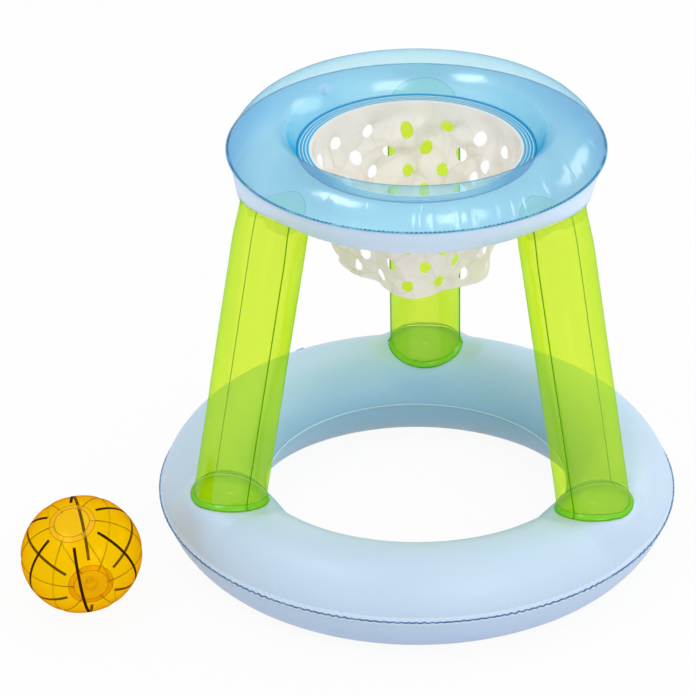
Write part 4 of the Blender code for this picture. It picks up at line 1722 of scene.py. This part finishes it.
    def dress_gores(self) -> bpy.types.Material:
        """Amber film with a dark stripe down each gore and thin brown seams.

        Returns:
            The material.
        """
        tree = Finish(BALL_CLEAR.name)
        across, polar = tree.uv()
        run = polar.math("MULTIPLY", math.pi / 180).math("SINE") * (self.radius * math.pi / 180)
        metres = (across * run).math("ABSOLUTE")
        stripe = 1 - metres.ramp(self.stripe_half, self.stripe_half + 0.0005)
        stripe = stripe * polar.band(90.0, self.stripe_reach, 1.0)
        edge = (across.math("ABSOLUTE") - 180.0 / self.gores) * run
        seam = edge.ramp(-0.0009, -0.0004)
        marks = ((seam, BALL_SEAM, 0.90), (stripe, BALL_STRIPE, 0.98))
        return BALL_CLEAR.shader(tree, marks, tree.ripple(60.0, 0.0006, 0.4))

    def dress_disc(self, name: str, milkiness: float) -> bpy.types.Material:
        """Amber film with the paler ring of its weld between two thin lines.

        Args:
            name: The material's name.
            milkiness: How solid its cloudy film is.

        Returns:
            The material.
        """
        tree = Finish(name)
        _, polar = tree.uv()
        ring = polar.band(self.weld_ring, 2.6, 0.8)
        inner, outer = (polar.band(place, 0.25, fade) for place, fade in self.weld_lines)
        soft = tree.cloud(35.0, 3.0) * 0.5 + 0.5
        marks = ((soft, DISC_MILK, milkiness), (ring, DISC_RING, 0.20),
                 ((inner + outer).math("MINIMUM", 1.0), DISC_LINE, 0.4))
        return BALL_CLEAR.shader(tree, marks, tree.ripple(60.0, 0.0006, 0.4))


@dataclass(frozen=True)
class Valves:
    """The nine small valve pieces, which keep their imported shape."""

    owners: tuple[str, ...] = ("base", "rim", "ball")
    parts: tuple[str, ...] = ("body", "plug", "flap")
    grain: float = 900.0
    grain_depth: float = 0.0002

    def dress(self) -> None:
        """Gives each its moulded vinyl, clear on the rings and amber on the ball."""
        clear = self.moulded()
        tree = Finish(BALL_VALVE.name)
        amber = BALL_VALVE.shader(tree, (), tree.ripple(self.grain, self.grain_depth, 0.3))
        for owner in self.owners:
            for part in self.parts:
                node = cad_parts[f"{owner}_valve_{part}"]
                node.data.materials.clear()
                node.data.materials.append(amber if owner == "ball" else clear)
                LOG.info("%s keeps its packed shape", node.name)

    def moulded(self) -> bpy.types.Material:
        """Soft moulded vinyl with faint flow marks.

        Returns:
            The material.
        """
        tree = Finish("valve_vinyl_moulded")
        mix = tree.blend(tree.cloud(180.0, 3.0), VALVE_CLEAR, VALVE_DEEP)
        fine = tree.cloud(self.grain, 2.0)
        return tree.done(tree.principled({
            "Base Color": mix, "Roughness": 0.32 + fine * 0.1,
            "Normal": tree.bump(fine, self.grain_depth, 0.3)}))


@dataclass(frozen=True)
class SoftBox:
    """A rectangular lamp that faces the hoop: its place, size in metres and power in watts."""

    name: str
    place: tuple[float, float, float]
    size: tuple[float, float]
    power: float

    def hang(self, aim: Vector) -> None:
        """Hangs the lamp in the scene, turned towards a point.

        Args:
            aim: The point that it faces.
        """
        data = bpy.data.lights.new(self.name, "AREA")
        data.shape = "RECTANGLE"
        data.size, data.size_y = self.size
        data.energy = self.power
        lamp = bpy.data.objects.new(self.name, data)
        bpy.context.scene.collection.objects.link(lamp)
        lamp.location = self.place
        lamp.rotation_euler = (aim - Vector(self.place)).to_track_quat("-Z", "Y").to_euler()


@dataclass
class Studio:
    """Floor, light and camera."""

    target_height: float = 0.2744
    distance: float = 4.7818
    elevation: float = math.radians(29.4345)
    focal_pixels: float = 3806.0
    target_pixel: tuple[float, float] = (416.386, 339.398)
    sensor: float = 36.0
    dome: tuple[float, float] = (0.56, 1.13)
    brightest: tuple[float, float, float] = (0.36, -0.08, 0.92)
    floor_side: float = 30.0
    floor_level: float = -0.0006
    floor_glow: float = 0.93
    floor_colour: Colour = (0.80, 0.80, 0.80)
    sky_colour: Colour = (0.96, 0.98, 1.0)
    film_layers: int = 32
    boxes: tuple[SoftBox, ...] = (
        SoftBox("left_box", (-1.7, -1.0, 2.9), (1.3, 0.7), 16.0),
        SoftBox("right_box", (2.7, 1.3, 1.5), (1.9, 0.9), 15.0),
        SoftBox("front_box", (1.6, -3.0, 2.6), (1.8, 1.2), 22.0))
    lamp_aim: tuple[float, float, float] = (0.05, 0.0, 0.25)

    def build(self) -> None:
        """Sets up the whole studio."""
        self.floor()
        self.world()
        for box in self.boxes:
            box.hang(Vector(self.lamp_aim))
        self.camera()
        scene = bpy.context.scene
        scene.view_settings.view_transform = "Standard"
        scene.cycles.transparent_max_bounces = self.film_layers

    def floor(self) -> None:
        """Adds the plain pale floor."""
        Bench.clear()
        bpy.ops.mesh.primitive_plane_add(size=self.floor_side, location=(0, 0, self.floor_level))
        floor = bpy.context.object
        floor.name = "floor"
        Bench.settle(floor)
        tree = Finish("pale_floor")
        shade = tree.principled({"Base Color": self.floor_colour, "Roughness": 0.9,
                                 "Specular IOR Level": 0.0})
        glow = tree.node("Emission", values={"Color": (1, 1, 1), "Strength": 1.0})
        floor.data.materials.append(tree.done(tree.node("MixShader", values={
            0: tree.seen() * self.floor_glow, 1: shade, 2: glow})))

    def world(self) -> None:
        """Adds the soft light from all round, strongest from overhead, white where seen."""
        world = bpy.data.worlds.new("studio")
        bpy.context.scene.world = world
        tree = Finish("studio", world)
        along = tree.node("VectorMath", {"operation": "DOT_PRODUCT"}, {
            0: tree.node("TexCoord", result="Generated"), 1: self.brightest}, "Value")
        strength = tree.node("MapRange", values={
            "Value": along, "To Min": self.dome[0], "To Max": self.dome[1]})
        soft = tree.node("Background", values={"Color": self.sky_colour, "Strength": strength})
        white = tree.node("Background", values={"Color": (1.0, 1.0, 1.0), "Strength": 1.0})
        tree.done(tree.node("MixShader", values={0: tree.seen(), 1: soft, 2: white}))

    def camera(self) -> None:
        """Places the camera as the photograph's was, aimed at the middle of its frame."""
        data = bpy.data.cameras.new("photo_camera")
        data.sensor_width = self.sensor
        data.lens = self.focal_pixels / PHOTO_SIDE * self.sensor
        data.clip_end = 60.0
        camera = bpy.data.objects.new("photo_camera", data)
        bpy.context.scene.collection.objects.link(camera)
        ahead = Vector((0, math.cos(self.elevation), -math.sin(self.elevation)))
        right = Vector((1, 0, 0))
        up = right.cross(ahead)
        target = Vector((HOOP_X, 0, self.target_height))
        across = (PHOTO_SIDE / 2 - self.target_pixel[0]) / self.focal_pixels
        down = (PHOTO_SIDE / 2 - self.target_pixel[1]) / self.focal_pixels
        aim = (ahead + right * across - up * down).normalized()
        right = (right - aim * right.dot(aim)).normalized()
        turn = Matrix((right, right.cross(aim), -aim)).transposed().to_4x4()
        camera.matrix_world = Matrix.Translation(target - ahead * self.distance) @ turn
        bpy.context.scene.camera = camera


def main() -> None:
    """Builds the object from the floor up, then the studio."""
    logging.basicConfig(level=logging.INFO, format="%(relativeCreated)d ms %(message)s")
    base = FloorRing(BASE, steps=1440, stations=24, ripples=(211, 229, 173), ripple_height=0.0015,
                     pucker_height=0.0003, seat=BASE.crest(Side.UPPER) - 0.0092,
                     seat_share=0.80, seat_reach=0.049, seat_fade=0.034, seat_side=Side.UPPER)
    base.build()
    rim = RimRing(RIM, steps=1440, stations=20, ripples=(263, 281, 229), ripple_height=0.0008,
                  pucker_height=0.0003, seat=RIM.crest(Side.LOWER) + 0.0123,
                  seat_share=0.20, seat_reach=0.034, seat_fade=0.026, seat_side=Side.LOWER,
                  head_bulge=0.0160)
    rim.build()
    film = dress_leg_film(math.pi / 2 * LEGS[0].radius)
    weld = dress_weld_disc()
    for line in LEGS:
        LegTube(line, base, rim).build(film, weld)
    PunchedNet().build()
    BeachBall().build()
    Valves().dress()
    Studio().build()
    Bench.clear()


if __name__ == "__main__":
    main()
